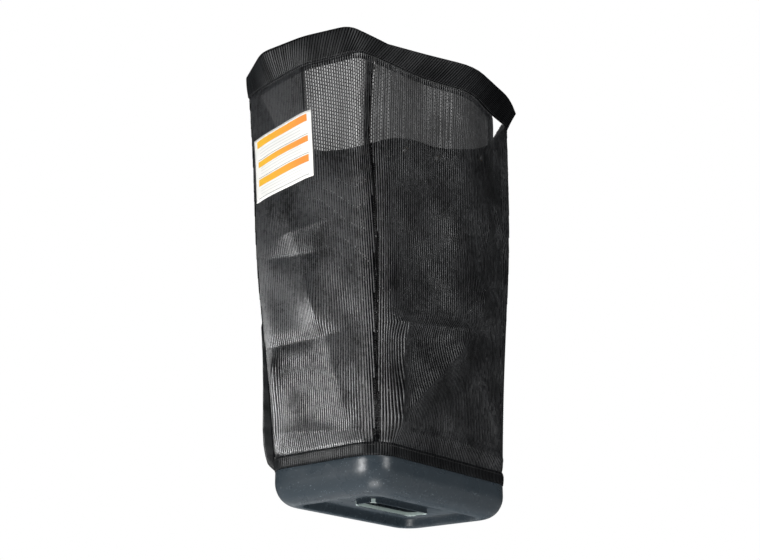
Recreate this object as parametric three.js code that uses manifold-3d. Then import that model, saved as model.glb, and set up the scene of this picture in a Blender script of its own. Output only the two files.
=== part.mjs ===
// Grass collection bag of a walk-behind mower: a ribbed mesh bag with its mouth up,
// sewn round the upstand of a moulded end cap that has a hand slot in its underside.
// Millimetres, +Z up, origin on the standing plane under the middle of the bag.
import * as THREE from 'three';
import { mergeVertices } from 'three/addons/utils/BufferGeometryUtils.js';
import Module from 'manifold-3d';

const wasm = await Module();
wasm.setup();

// Overall sizes
const CAP_LENGTH = 343;
const CAP_WIDTH = 222;
const CAP_WALL_HEIGHT = 52;
const BAG_HEIGHT = 725;
const SEAT_GAP = 0.3;
const CLOTH_GAP = 0.65;

// End cap, one moulding
const CAP_CORNER_RADIUS = 40;
const CAP_RADIUS_LOSS = 0.45;
const CAP_BOTTOM_RADIUS = 36;
const CAP_BOTTOM_INSET = 27;
const CAP_WALL = 3.2;
const CAP_FOOT_WIDTH = 6;
const CAP_RECESS_SLOPE = 9;
const CAP_RECESS_DEPTH = 14;
const CAP_UPSTAND_HEIGHT = 30;
const CAP_UPSTAND_WALL = 2.6;
const SLOT_LENGTH = 138;
const SLOT_WIDTH = 38;
const SLOT_RADIUS = 13;
const SLOT_COLLAR_WALL = 2.8;
const SLOT_COLLAR_FOOT = 5;
const SLOT_COLLAR_HEIGHT = 20;
const CAP_BINDING_PLAY = 1.0;
const CAP_FLOOR_RISE = 0.5;
const CUT_OVERRUN = 5;

// Fabric
const MESH_THICKNESS = 1.2;
const RIB_RISE = 0.5;
const BAND_THICKNESS = 2.6;
const BAND_HEIGHT = 45;
const BAND_GAP = 0.45;
const BAND_REACH = 0.985;
const BAND_EDGE_SHARE = 0.55;
const BINDING_THICKNESS = 2.6;
const BINDING_HEIGHT = 19;
const ALLOWANCE_WIDTH = 12;
const ALLOWANCE_THICKNESS = 0.9;
const ALLOWANCE_SEAM_WAY = 1.7;
const TURN_IN_WIDTH = 9;
const TURN_IN_SEAM_WAY = 3.2;
const TURN_IN_GAP = 1.2;
const TURN_IN_NOTCH_GAP = 4;
const SEAM_CORNER_GAP = 1.0;
const NOTCH_WIDTH = 38;
const NOTCH_HEIGHT = 42;
const NOTCH_FROM_SEAM = 18;
const FIN_THICKNESS = 0.9;
const FIN_ROOT = 0.4;
const FIN_ROWS = 9;

// Plain openings that stand for the front's fine mesh
const OPENING_COLUMNS = 3;
const OPENING_ROWS = 11;
const OPENING_SHARE = 0.5;
const OPENING_RISE = 50;
const OPENING_DROP = 52;

// Panel divisions
const LONG_COLUMNS = 36;
const SHORT_COLUMNS = 26;
const PANEL_ROWS = 14;
const BAND_ROWS = 3;

// Label patch and the short seam above it, as shares of the label side
const LABEL_THICKNESS = 0.6;
const LABEL_COLUMNS = [1, 15];
const LABEL_ROWS = 6;
const LABEL_LEVELS = { left: [0.69, 0.865], right: [0.70, 0.875] };
const LABEL_SEAM_SHARE = 0.53;
const LABEL_SEAM_WIDTH = 3;
const LABEL_SEAM_THICKNESS = 0.8;
const LABEL_SEAM_GAPS = { low: 1.5, high: 1.9 };

// Eyelets in the mouth band of the far short side, with their backing washers
const EYELET_COLUMNS = [10, 17, 22];
const EYELET_BAND_ROW = 1;
const EYELET_FLANGE_RADIUS = 6.4;
const EYELET_BARREL_RADIUS = 4.3;
const EYELET_BORE_RADIUS = 3.5;
const EYELET_FLANGE_THICKNESS = 0.8;
const WASHER_THICKNESS = 0.7;
const EYELET_FACE_GAP = 0.45;

// The four upright sides, in order round the bag from the near corner seam
const FRONT = 0;
const RIGHT = 1;
const BACK = 2;
const LABEL = 3;
const HALF_LENGTH = CAP_LENGTH / 2;
const HALF_WIDTH = CAP_WIDTH / 2;
const SIDES = [
  { corner: [-HALF_LENGTH, -HALF_WIDTH], along: [1, 0], out: [0, -1], length: CAP_LENGTH,
    columns: LONG_COLUMNS, softness: 0.09 },
  { corner: [HALF_LENGTH, -HALF_WIDTH], along: [0, 1], out: [1, 0], length: CAP_WIDTH,
    columns: SHORT_COLUMNS, softness: 0.09 },
  { corner: [HALF_LENGTH, HALF_WIDTH], along: [-1, 0], out: [0, 1], length: CAP_LENGTH,
    columns: LONG_COLUMNS, softness: 0.09 },
  { corner: [-HALF_LENGTH, HALF_WIDTH], along: [0, -1], out: [-1, 0], length: CAP_WIDTH,
    columns: SHORT_COLUMNS, softness: 0.05 },
];
const PANEL_HEIGHT = BAG_HEIGHT - CAP_WALL_HEIGHT - BAND_HEIGHT;

// Where the mouth stands when the empty bag sags: at each corner the shift along X and Y
// from the cap's corner and the drop below the highest point, and along each side
// [share of the cap's side, way out from the cap, drop below the highest point]
const RIM = {
  corners: [[24.5, -0.5, 8], [0.5, -32.5, 14], [-75.5, -14.5, 23], [-32.5, 35.5, 3]],
  sides: [
    [[0.272, 32.5, 9], [0.471, 73.5, 14], [0.747, 59.5, 13], [0.871, 49.5, 7]],
    [[0.066, 30.5, 24], [0.315, 56.5, 33], [0.629, 9.5, 30], [0.786, -54.5, 17]],
    [[0.334, 38.5, 41], [0.443, 69.5, 49], [0.605, 107.5, 47], [0.918, 51.5, 25]],
    [[0.186, 78.5, 3], [0.574, 74.5, 3], [0.92, 49.5, 0]],
  ],
};
// The same for the seam under the mouth band
const BAND_SEAM = {
  corners: [[2.5, 6.5, 38], [-13.5, -19.5, 43], [-58.5, -0.5, 61], [-28.5, 32.5, 42]],
  sides: [
    [[0.272, 13.5, 45], [0.529, 50.5, 47], [0.757, 31.5, 47]],
    [[0.112, 34.5, 57], [0.38, 68.5, 71], [0.671, 22.5, 69], [0.851, -37.5, 55]],
    [[0.281, 53.5, 79], [0.405, 82.5, 90], [0.557, 122.5, 85], [0.89, 60.5, 63]],
    [[0.075, 43.5, 44], [0.528, 60.5, 45], [0.934, 30.5, 39]],
  ],
};
// The near corner seam hangs inwards under the band, the right and the left one stand out
const BOWS = [
  { corner: FRONT, shift: [-5, 8], share: 0.35, level: 0.80, reach: 0.17 },
  { corner: RIGHT, shift: [5, -6.2], share: 0.30, level: 0.66, reach: 0.30 },
  { corner: LABEL, shift: [-4, 5], share: 0.30, level: 0.52, reach: 0.24 },
];
// The left corner's seam allowance stands out as a fin: level and width, from its foot up
const FIN_WIDTHS = [[0.036, 8], [0.065, 13], [0.10, 14.5], [0.22, 9], [0.30, 5], [0.36, 3]];

// Creases in the sides: from and to as [share of the side, share of its height]
const CREASES = [
  { side: FRONT, from: [0.76, 1.0], to: [0.80, 0.74], reach: 34, rise: -7 },
  { side: FRONT, from: [0.80, 0.74], to: [0.71, 0.37], reach: 42, rise: -9 },
  { side: FRONT, from: [0.71, 0.37], to: [0.10, 0.10], reach: 60, rise: 12 },
  { side: FRONT, from: [0.06, 0.31], to: [0.71, 0.37], reach: 26, rise: 5 },
  { side: FRONT, from: [0.82, 0.64], to: [0.99, 0.58], reach: 28, rise: 5 },
  { side: FRONT, from: [0.50, 0.08], to: [0.97, 0.06], reach: 24, rise: 4 },
  { side: LABEL, from: [0.64, 0.64], to: [0.78, 0.45], reach: 32, rise: 6 },
  { side: LABEL, from: [0.78, 0.45], to: [0.78, 0.17], reach: 34, rise: 7 },
  { side: LABEL, from: [0.10, 0.575], to: [0.66, 0.60], reach: 24, rise: 5 },
  { side: LABEL, from: [0.03, 0.31], to: [0.50, 0.31], reach: 24, rise: -5 },
  { side: RIGHT, from: [0.25, 0.85], to: [0.55, 0.35], reach: 40, rise: -8 },
  { side: BACK, from: [0.30, 0.80], to: [0.62, 0.25], reach: 55, rise: 9 },
  { side: BACK, from: [0.75, 0.95], to: [0.80, 0.45], reach: 36, rise: -7 },
];
// The way in which they die out towards the corner seams, the cap and the band
const CREASE_FADE = { seam: 22, foot: 40, head: 25 };

const easeStep = (x) => {
  const v = Math.min(1, Math.max(0, x));
  return v * v * (3 - 2 * v);
};

// One loop of the bag as four lists of points, corner to corner
function loopPoints(shape) {
  return SIDES.map((side, k) => {
    const points = [cornerPoint(shape, k)];
    for (const [share, way, drop] of shape.sides[k]) {
      points.push(new THREE.Vector3(
        side.corner[0] + side.along[0] * share * side.length + side.out[0] * way,
        side.corner[1] + side.along[1] * share * side.length + side.out[1] * way,
        BAG_HEIGHT - drop));
    }
    points.push(cornerPoint(shape, (k + 1) % SIDES.length));
    return points;
  });
}

function cornerPoint(shape, k) {
  const [shiftX, shiftY, drop] = shape.corners[k];
  const [x, y] = SIDES[k].corner;
  return new THREE.Vector3(x + shiftX, y + shiftY, BAG_HEIGHT - drop);
}

function pointAlong(points, share) {
  let total = 0;
  for (let i = 1; i < points.length; i += 1) total += points[i].distanceTo(points[i - 1]);
  let left = Math.min(1, Math.max(0, share)) * total;
  for (let i = 1; i < points.length; i += 1) {
    const length = points[i].distanceTo(points[i - 1]);
    if (left <= length || i === points.length - 1) {
      return points[i - 1].clone().lerp(points[i], Math.min(1, left / length));
    }
    left -= length;
  }
  return points[points.length - 1].clone();
}

// A point of the loop with its bends rounded, exact at both corner seams
function softPoint(points, share, softness) {
  const reach = Math.min(softness, share, 1 - share);
  const sum = new THREE.Vector3();
  for (const [step, weight] of [[-1, 1], [-0.5, 2], [0, 2], [0.5, 2], [1, 1]]) {
    sum.addScaledVector(pointAlong(points, share + step * reach), weight / 8);
  }
  return sum;
}

// The outline of the cap's wall, set in by inset, at a share of one side
function capOutline(k, share, inset, radius, z) {
  const side = SIDES[k];
  const length = side.length - 2 * inset;
  const r = Math.max(0.5, radius);
  const halfArc = (Math.PI * r) / 4;
  const total = length - 2 * r + 2 * halfArc;
  const way = share * total;
  let x = r + way - halfArc;
  let y = 0;
  if (way < halfArc) {
    const angle = Math.PI / 4 + way / r;
    x = r - r * Math.cos(angle);
    y = r * Math.sin(angle) - r;
  } else if (way > total - halfArc) {
    const angle = (way - total + halfArc) / r;
    x = length - r + r * Math.sin(angle);
    y = r * Math.cos(angle) - r;
  }
  return new THREE.Vector3(
    side.corner[0] + (side.along[0] - side.out[0]) * inset + side.along[0] * x + side.out[0] * y,
    side.corner[1] + (side.along[1] - side.out[1]) * inset + side.along[1] * x + side.out[1] * y, z);
}

const rimLoop = loopPoints(RIM);
const seamLoop = loopPoints(BAND_SEAM);

// Middle of the cloth: level 0 at the cap's edge, 1 at the band's seam, 2 at the mouth
function clothMiddle(k, share, level) {
  const { softness } = SIDES[k];
  const inset = BINDING_THICKNESS / 2;
  const foot = capOutline(k, share, inset, CAP_CORNER_RADIUS - inset, CAP_WALL_HEIGHT + SEAT_GAP);
  const seam = softPoint(seamLoop[k], share, softness);
  const point = foot.lerp(seam, Math.min(1, level));
  if (level > 1) {
    const rim = softPoint(rimLoop[k], share, softness);
    point.add(rim.sub(seam).multiplyScalar(level - 1));
  }
  for (const bow of BOWS.filter(({ corner }) => k === corner || k === (corner + 3) % 4)) {
    const away = k === bow.corner ? share : 1 - share;
    const part = Math.max(0, 1 - away / bow.share) ** 2
      * Math.exp(-(((level - bow.level) / bow.reach) ** 2));
    point.x += bow.shift[0] * part;
    point.y += bow.shift[1] * part;
  }
  return point;
}

const WIDTH_STEPS = 12;
const sideWidthAt = (k, level) => {
  let width = 0;
  for (let i = 0; i < WIDTH_STEPS; i += 1) {
    width += clothMiddle(k, i / WIDTH_STEPS, level).distanceTo(clothMiddle(k, (i + 1) / WIDTH_STEPS, level));
  }
  return width;
};
const PANEL_WIDTHS = SIDES.map((side, k) => sideWidthAt(k, 1));

// How far the creases lift the cloth outwards
function creaseRise(k, share, level) {
  const width = PANEL_WIDTHS[k];
  let rise = 0;
  for (const crease of CREASES.filter((c) => c.side === k)) {
    const start = new THREE.Vector2(crease.from[0] * width, crease.from[1] * PANEL_HEIGHT);
    const run = new THREE.Vector2(crease.to[0] * width, crease.to[1] * PANEL_HEIGHT).sub(start);
    const here = new THREE.Vector2(share * width, level * PANEL_HEIGHT).sub(start);
    const q = Math.min(1, Math.max(0, here.dot(run) / run.lengthSq()));
    const away = here.addScaledVector(run, -q).length();
    const end = Math.min(q, 1 - q) * run.length();
    rise += crease.rise * Math.max(0, 1 - away / crease.reach) ** 2
      * (0.25 + 0.75 * easeStep(end / crease.reach));
  }
  const seamWay = Math.min(share, 1 - share) * width;
  return rise * easeStep(seamWay / CREASE_FADE.seam)
    * easeStep((level * PANEL_HEIGHT) / CREASE_FADE.foot)
    * easeStep(((1 - level) * PANEL_HEIGHT) / CREASE_FADE.head);
}

// Point and outward direction of the creased cloth
function cloth(k, share, level) {
  const step = 0.001;
  const across = clothMiddle(k, Math.min(1, share + step), level)
    .sub(clothMiddle(k, Math.max(0, share - step), level));
  const up = clothMiddle(k, share, level + step).sub(clothMiddle(k, share, Math.max(0, level - step)));
  const normal = across.cross(up).normalize();
  const point = clothMiddle(k, share, level).addScaledVector(normal, creaseRise(k, share, level));
  return { point, normal };
}

const offsetPoint = (spot, way) => spot.point.clone().addScaledVector(spot.normal, way);

// A closed skin over a grid of point pairs, outer face first; it may wrap round on itself,
// and isOpen names the grid's spaces that are cut right through
function skinSolid(columns, rows, place, { wraps = false, isOpen = () => false } = {}) {
  const positions = [];
  const across = wraps ? columns : columns + 1;
  for (let i = 0; i < across; i += 1) {
    for (let j = 0; j <= rows; j += 1) {
      const [outer, inner] = place(i, j);
      positions.push(outer.x, outer.y, outer.z, inner.x, inner.y, inner.z);
    }
  }
  const at = (i, j, face) => (((i % across) * (rows + 1)) + j) * 2 + face;
  const index = [];
  const quad = (a, b, c, d) => index.push(a, b, c, a, c, d);
  for (let i = 0; i < columns; i += 1) {
    for (let j = 0; j < rows; j += 1) {
      if (isOpen(i, j)) {
        quad(at(i, j + 1, 1), at(i + 1, j + 1, 1), at(i + 1, j + 1, 0), at(i, j + 1, 0));
        quad(at(i, j, 0), at(i + 1, j, 0), at(i + 1, j, 1), at(i, j, 1));
        quad(at(i + 1, j, 0), at(i + 1, j + 1, 0), at(i + 1, j + 1, 1), at(i + 1, j, 1));
        quad(at(i, j, 1), at(i, j + 1, 1), at(i, j + 1, 0), at(i, j, 0));
      } else {
        quad(at(i, j, 0), at(i + 1, j, 0), at(i + 1, j + 1, 0), at(i, j + 1, 0));
        quad(at(i, j, 1), at(i, j + 1, 1), at(i + 1, j + 1, 1), at(i + 1, j, 1));
      }
    }
    quad(at(i, 0, 1), at(i + 1, 0, 1), at(i + 1, 0, 0), at(i, 0, 0));
    quad(at(i, rows, 0), at(i + 1, rows, 0), at(i + 1, rows, 1), at(i, rows, 1));
  }
  if (!wraps) {
    for (let j = 0; j < rows; j += 1) {
      quad(at(0, j, 0), at(0, j + 1, 0), at(0, j + 1, 1), at(0, j, 1));
      quad(at(columns, j, 1), at(columns, j + 1, 1), at(columns, j + 1, 0), at(columns, j, 0));
    }
  }
  const geometry = new THREE.BufferGeometry();
  geometry.setAttribute('position', new THREE.Float32BufferAttribute(positions, 3));
  geometry.setIndex(index);
  return geometry;
}

function toManifold(geometry) {
  const bare = geometry.clone();
  bare.deleteAttribute('normal');
  bare.deleteAttribute('uv');
  const merged = mergeVertices(bare, 1e-4);
  return new wasm.Manifold(new wasm.Mesh({
    numProp: 3,
    vertProperties: new Float32Array(merged.attributes.position.array),
    triVerts: new Uint32Array(merged.index.array),
  }));
}

function fromManifold(solid) {
  const { vertProperties, triVerts } = solid.getMesh();
  const geometry = new THREE.BufferGeometry();
  geometry.setAttribute('position', new THREE.BufferAttribute(new Float32Array(vertProperties), 3));
  geometry.setIndex(new THREE.BufferAttribute(new Uint32Array(triVerts), 1));
  return geometry;
}

const PANEL_FOOT = (BINDING_HEIGHT + SEAT_GAP) / PANEL_HEIGHT;
const PANEL_HEAD = 1 - SEAT_GAP / PANEL_HEIGHT;
const ALLOWANCE_FOOT = (CAP_UPSTAND_HEIGHT + 2) / PANEL_HEIGHT;
const ALLOWANCE_HEAD = 1 - (TURN_IN_WIDTH + TURN_IN_GAP) / PANEL_HEIGHT;

// The levels of a panel's divisions; the front's lie at the edges of its openings
const PANEL_LEVELS = SIDES.map((side, k) => {
  if (k !== FRONT) {
    return Array.from({ length: PANEL_ROWS + 1 }, (_, j) => (
      PANEL_FOOT + (PANEL_HEAD - PANEL_FOOT) * (j / PANEL_ROWS)));
  }
  const low = OPENING_RISE / PANEL_HEIGHT;
  const pitch = (1 - OPENING_DROP / PANEL_HEIGHT - low) / OPENING_ROWS;
  const levels = [PANEL_FOOT];
  for (let j = 0; j < OPENING_ROWS; j += 1) {
    levels.push(low + pitch * j, low + pitch * (j + OPENING_SHARE));
  }
  return [...levels, low + pitch * OPENING_ROWS, PANEL_HEAD];
});
const isOpening = (i, j) => i % OPENING_COLUMNS === 1 && j % 2 === 1 && j < 2 * OPENING_ROWS;

// One side of ribbed mesh, between its two corner seams
function panelGeometry(k) {
  const { columns } = SIDES[k];
  const levels = PANEL_LEVELS[k];
  return skinSolid(columns, levels.length - 1, (i, j) => {
    const margin = SEAM_CORNER_GAP / sideWidthAt(k, levels[j]);
    const spot = cloth(k, margin + (1 - 2 * margin) * (i / columns), levels[j]);
    const rib = i % 2 === 1 && i < columns ? RIB_RISE : 0;
    return [offsetPoint(spot, MESH_THICKNESS / 2 + rib), offsetPoint(spot, rib - MESH_THICKNESS / 2)];
  }, { isOpen: (i, j) => k === FRONT && isOpening(i, j) });
}

// A place on the panel as its flat divisions lie, for what is sewn on to it
function panelSpot(k, share, level) {
  const levels = PANEL_LEVELS[k];
  const across = Math.min(0.9999, Math.max(0, share)) * SIDES[k].columns;
  const i = Math.floor(across);
  const j = Math.min(levels.length - 1, levels.findIndex((top) => top > level)) - 1;
  const up = j + (level - levels[j]) / (levels[j + 1] - levels[j]);
  const corner = (di, dj) => cloth(k, (i + di) / SIDES[k].columns, levels[j + dj]);
  const mixed = { point: new THREE.Vector3(), normal: new THREE.Vector3() };
  for (const [di, dj] of [[0, 0], [1, 0], [0, 1], [1, 1]]) {
    const weight = (di ? across - i : 1 - across + i) * (dj ? up - j : 1 - up + j);
    const spot = corner(di, dj);
    mixed.point.addScaledVector(spot.point, weight);
    mixed.normal.addScaledVector(spot.normal, weight);
  }
  mixed.normal.normalize();
  return mixed;
}

// A flat strip of cloth along a corner seam, turned inside on one side of it
function allowanceGeometry(k, fromEnd) {
  const inside = MESH_THICKNESS / 2 + CLOTH_GAP;
  return skinSolid(1, PANEL_ROWS, (i, j) => {
    const level = ALLOWANCE_FOOT + (ALLOWANCE_HEAD - ALLOWANCE_FOOT) * (j / PANEL_ROWS);
    const way = (ALLOWANCE_SEAM_WAY + (fromEnd ? 1 - i : i) * ALLOWANCE_WIDTH) / sideWidthAt(k, level);
    const spot = panelSpot(k, fromEnd ? 1 - way : way, level);
    return [offsetPoint(spot, -inside), offsetPoint(spot, -inside - ALLOWANCE_THICKNESS)];
  });
}

// Points all round the bag at one level, with mitred corners
const RING = [];
SIDES.forEach((side, k) => {
  for (let i = 0; i < side.columns; i += 1) RING.push([k, i / side.columns]);
});

function ringSpot(index, level) {
  const [k, share] = RING[index % RING.length];
  const spot = cloth(k, share, level);
  if (share === 0) {
    const before = cloth((k + 3) % 4, 1, level);
    const mitre = spot.normal.clone().add(before.normal).normalize();
    return { point: spot.point, normal: mitre.divideScalar(Math.max(0.5, mitre.dot(spot.normal))) };
  }
  return spot;
}

function ringGeometry(rows, levelAt, outerWay, innerWay) {
  return skinSolid(RING.length, rows, (i, j) => {
    const spot = ringSpot(i, levelAt(j));
    return [offsetPoint(spot, outerWay(j)), offsetPoint(spot, innerWay(j))];
  }, { wraps: true });
}

// The left corner's allowance where it stands out from the bag, in the corner's mitre
function finGeometry() {
  const corner = RING.findIndex(([k, share]) => k === LABEL && share === 0);
  const [foot, head] = [FIN_WIDTHS[0][0], FIN_WIDTHS[FIN_WIDTHS.length - 1][0]];
  const widthAt = (level) => {
    const n = Math.max(1, FIN_WIDTHS.findIndex(([top]) => top >= level - 1e-9));
    const [[low, wide], [high, narrow]] = [FIN_WIDTHS[n - 1], FIN_WIDTHS[n]];
    return wide + ((narrow - wide) * (level - low)) / (high - low);
  };
  return skinSolid(1, FIN_ROWS, (i, j) => {
    const level = foot + (head - foot) * (j / FIN_ROWS);
    const { point, normal } = ringSpot(corner, level);
    const out = normal.clone().setZ(0).normalize();
    const side = new THREE.Vector3(-out.y, out.x, 0);
    const edge = point.clone().addScaledVector(out, FIN_ROOT + i * widthAt(level));
    return [-1, 1].map((face) => edge.clone().addScaledVector(side, (face * FIN_THICKNESS) / 2));
  });
}

// The moulded cap as one shell: outer rings from the underside's middle out and up,
// then inner rings back down to the floor's middle
function capGeometry() {
  const steps = 7;
  const rings = [];
  const foot = CAP_BOTTOM_INSET;
  const recessEdge = foot + CAP_FOOT_WIDTH;
  const recessFloor = recessEdge + CAP_RECESS_SLOPE;
  for (let i = 0; i <= 4; i += 1) {
    const q = i / 4;
    rings.push([recessFloor - CAP_RECESS_SLOPE * q, CAP_RECESS_DEPTH * (1 - easeStep(q))]);
  }
  for (let i = 0; i <= steps; i += 1) {
    const angle = (i / steps) * (Math.PI / 2);
    rings.push([foot * (1 - Math.sin(angle)), CAP_BOTTOM_RADIUS * (1 - Math.cos(angle))]);
  }
  rings.push([0, CAP_WALL_HEIGHT]);
  const upstand = BINDING_THICKNESS + SEAT_GAP + CAP_BINDING_PLAY;
  rings.push([upstand, CAP_WALL_HEIGHT]);
  rings.push([upstand, CAP_WALL_HEIGHT + CAP_UPSTAND_HEIGHT]);
  rings.push([upstand + CAP_UPSTAND_WALL, CAP_WALL_HEIGHT + CAP_UPSTAND_HEIGHT]);
  rings.push([upstand + CAP_UPSTAND_WALL, CAP_BOTTOM_RADIUS + 4]);
  const innerRadius = CAP_BOTTOM_RADIUS - CAP_WALL;
  for (let i = 1; i <= 4; i += 1) {
    const angle = (i / 5) * (Math.PI / 2);
    rings.push([upstand + CAP_UPSTAND_WALL + (foot - upstand) * (1 - Math.cos(angle)),
      CAP_WALL + innerRadius * (1 - Math.sin(angle)) + 1]);
  }
  rings.push([recessEdge - CAP_FOOT_WIDTH, CAP_WALL + CAP_FLOOR_RISE]);
  rings.push([recessFloor - CAP_WALL, CAP_WALL + CAP_RECESS_DEPTH]);
  // Along each side: half an arc, the straight and most of the next half arc
  const sharesAt = (k, inset, radius) => {
    const halfArc = (Math.PI * radius) / 4;
    const arc = halfArc / (SIDES[k].length - 2 * inset - 2 * radius + 2 * halfArc);
    return [0, arc / 3, (2 * arc) / 3, arc, 0.5, 1 - arc, 1 - (2 * arc) / 3, 1 - arc / 3];
  };
  const perSide = sharesAt(FRONT, 0, CAP_CORNER_RADIUS).length;
  const around = perSide * SIDES.length;
  const positions = [];
  for (const [inset, z] of rings) {
    const radius = CAP_CORNER_RADIUS - CAP_RADIUS_LOSS * inset;
    SIDES.forEach((side, k) => {
      for (const share of sharesAt(k, inset, radius)) {
        const point = capOutline(k, share, inset, radius, z);
        positions.push(point.x, point.y, point.z);
      }
    });
  }
  const index = [];
  for (let r = 0; r + 1 < rings.length; r += 1) {
    for (let n = 0; n < around; n += 1) {
      const next = (n + 1) % around;
      const [a, b, c, d] = [r * around + n, r * around + next, (r + 1) * around + next, (r + 1) * around + n];
      index.push(a, b, c, a, c, d);
    }
  }
  const under = positions.length / 3;
  positions.push(0, 0, CAP_RECESS_DEPTH, 0, 0, CAP_WALL + CAP_RECESS_DEPTH);
  const last = (rings.length - 1) * around;
  for (let n = 0; n < around; n += 1) {
    const next = (n + 1) % around;
    index.push(under, next, n, under + 1, last + n, last + next);
  }
  const shell = new THREE.BufferGeometry();
  shell.setAttribute('position', new THREE.Float32BufferAttribute(positions, 3));
  shell.setIndex(index);
  return shell;
}

function slotShape(grow) {
  const hx = SLOT_LENGTH / 2 + grow;
  const hy = SLOT_WIDTH / 2 + grow;
  const r = SLOT_RADIUS + grow;
  const shape = new THREE.Shape();
  shape.moveTo(hx, -hy + r);
  shape.lineTo(hx, hy - r);
  shape.absarc(hx - r, hy - r, r, 0, Math.PI / 2);
  shape.lineTo(-hx + r, hy);
  shape.absarc(-hx + r, hy - r, r, Math.PI / 2, Math.PI);
  shape.lineTo(-hx, -hy + r);
  shape.absarc(-hx + r, -hy + r, r, Math.PI, 1.5 * Math.PI);
  shape.lineTo(hx - r, -hy);
  shape.absarc(hx - r, -hy + r, r, 1.5 * Math.PI, 2 * Math.PI);
  return shape;
}

function slotPrism(grow, bottom, top) {
  const prism = new THREE.ExtrudeGeometry(slotShape(grow),
    { depth: top - bottom, bevelEnabled: false, curveSegments: 5 });
  prism.translate(0, 0, bottom);
  return prism;
}

function capSolid() {
  const collarHead = SLOT_COLLAR_FOOT + SLOT_COLLAR_HEIGHT;
  const collar = slotPrism(SLOT_COLLAR_WALL, SLOT_COLLAR_FOOT, collarHead);
  const cut = slotPrism(0, SLOT_COLLAR_FOOT - CUT_OVERRUN, collarHead + CUT_OVERRUN);
  return fromManifold(toManifold(capGeometry()).add(toManifold(collar)).subtract(toManifold(cut)));
}

// A small piece turned round its own axis, set at a place on the cloth
function turned(profile, spot, segments = 14) {
  const outline = profile.map(([radius, height]) => new THREE.Vector2(radius, height));
  outline.push(outline[0].clone());
  const geometry = new THREE.LatheGeometry(outline, segments);
  geometry.applyQuaternion(new THREE.Quaternion()
    .setFromUnitVectors(new THREE.Vector3(0, 1, 0), spot.normal));
  geometry.translate(spot.point.x, spot.point.y, spot.point.z);
  return geometry;
}

const faceWay = BAND_THICKNESS / 2 + EYELET_FACE_GAP;
const bandLevel = (row) => 1 + BAND_GAP / BAND_HEIGHT + (BAND_REACH * row) / BAND_ROWS;
// The middle of one flat division of the band
const eyeletSpots = EYELET_COLUMNS.map((column) => {
  const [a, b, c, d] = [[0, 0], [1, 0], [1, 1], [0, 1]].map(([di, dj]) => (
    cloth(RIGHT, (column + di) / SHORT_COLUMNS, bandLevel(EYELET_BAND_ROW + dj)).point));
  const normal = c.clone().sub(a).cross(d.clone().sub(b)).normalize();
  return { point: a.add(b).add(c).add(d).divideScalar(4), normal };
});

const eyeletGeometry = (spot) => turned([
  [EYELET_BORE_RADIUS, -faceWay - WASHER_THICKNESS - 0.3],
  [EYELET_BARREL_RADIUS, -faceWay - WASHER_THICKNESS - 0.3],
  [EYELET_BARREL_RADIUS, faceWay],
  [EYELET_FLANGE_RADIUS, faceWay],
  [EYELET_FLANGE_RADIUS, faceWay + EYELET_FLANGE_THICKNESS],
  [EYELET_BORE_RADIUS, faceWay + EYELET_FLANGE_THICKNESS],
], spot);

const washerGeometry = (spot) => turned([
  [EYELET_BARREL_RADIUS + SEAT_GAP, -faceWay - WASHER_THICKNESS],
  [EYELET_FLANGE_RADIUS, -faceWay - WASHER_THICKNESS],
  [EYELET_FLANGE_RADIUS, -faceWay],
  [EYELET_BARREL_RADIUS + SEAT_GAP, -faceWay],
], spot);

function bandSolid() {
  const half = BAND_THICKNESS / 2;
  const halfAt = (row) => (row === BAND_ROWS ? half * BAND_EDGE_SHARE : half);
  let band = toManifold(ringGeometry(BAND_ROWS, bandLevel, halfAt, (row) => -halfAt(row)));
  for (const spot of eyeletSpots) {
    const reach = EYELET_BARREL_RADIUS + SEAT_GAP;
    const deep = BAND_THICKNESS + CUT_OVERRUN;
    band = band.subtract(toManifold(turned([[0, -deep], [reach, -deep], [reach, deep], [0, deep]], spot)));
  }
  return fromManifold(band);
}

// The unsewn place beside the right corner seam, under the band
function notchedFront() {
  const width = sideWidthAt(FRONT, 1);
  const place = (way, down, out) => (
    offsetPoint(cloth(FRONT, 1 - way / width, 1 - down / PANEL_HEIGHT), out));
  const corners = [[NOTCH_FROM_SEAM + NOTCH_WIDTH, -CUT_OVERRUN], [NOTCH_FROM_SEAM, -CUT_OVERRUN],
    [NOTCH_FROM_SEAM + NOTCH_WIDTH, NOTCH_HEIGHT]];
  const positions = [];
  for (const out of [2 * CUT_OVERRUN, -2 * CUT_OVERRUN]) {
    for (const [way, down] of corners) {
      const point = place(way, Math.max(down, 0), out);
      if (down < 0) point.z -= down;
      positions.push(point.x, point.y, point.z);
    }
  }
  const wedge = new THREE.BufferGeometry();
  wedge.setAttribute('position', new THREE.Float32BufferAttribute(positions, 3));
  wedge.setIndex([0, 2, 1, 3, 4, 5, 0, 1, 4, 0, 4, 3, 1, 2, 5, 1, 5, 4, 2, 0, 3, 2, 3, 5]);
  let cutter = toManifold(wedge);
  if (cutter.volume() < 0) {
    wedge.setIndex([0, 1, 2, 3, 5, 4, 0, 4, 1, 0, 3, 4, 1, 5, 2, 1, 4, 5, 2, 3, 0, 2, 5, 3]);
    cutter = toManifold(wedge);
  }
  return fromManifold(toManifold(panelGeometry(FRONT)).subtract(cutter));
}

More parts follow.
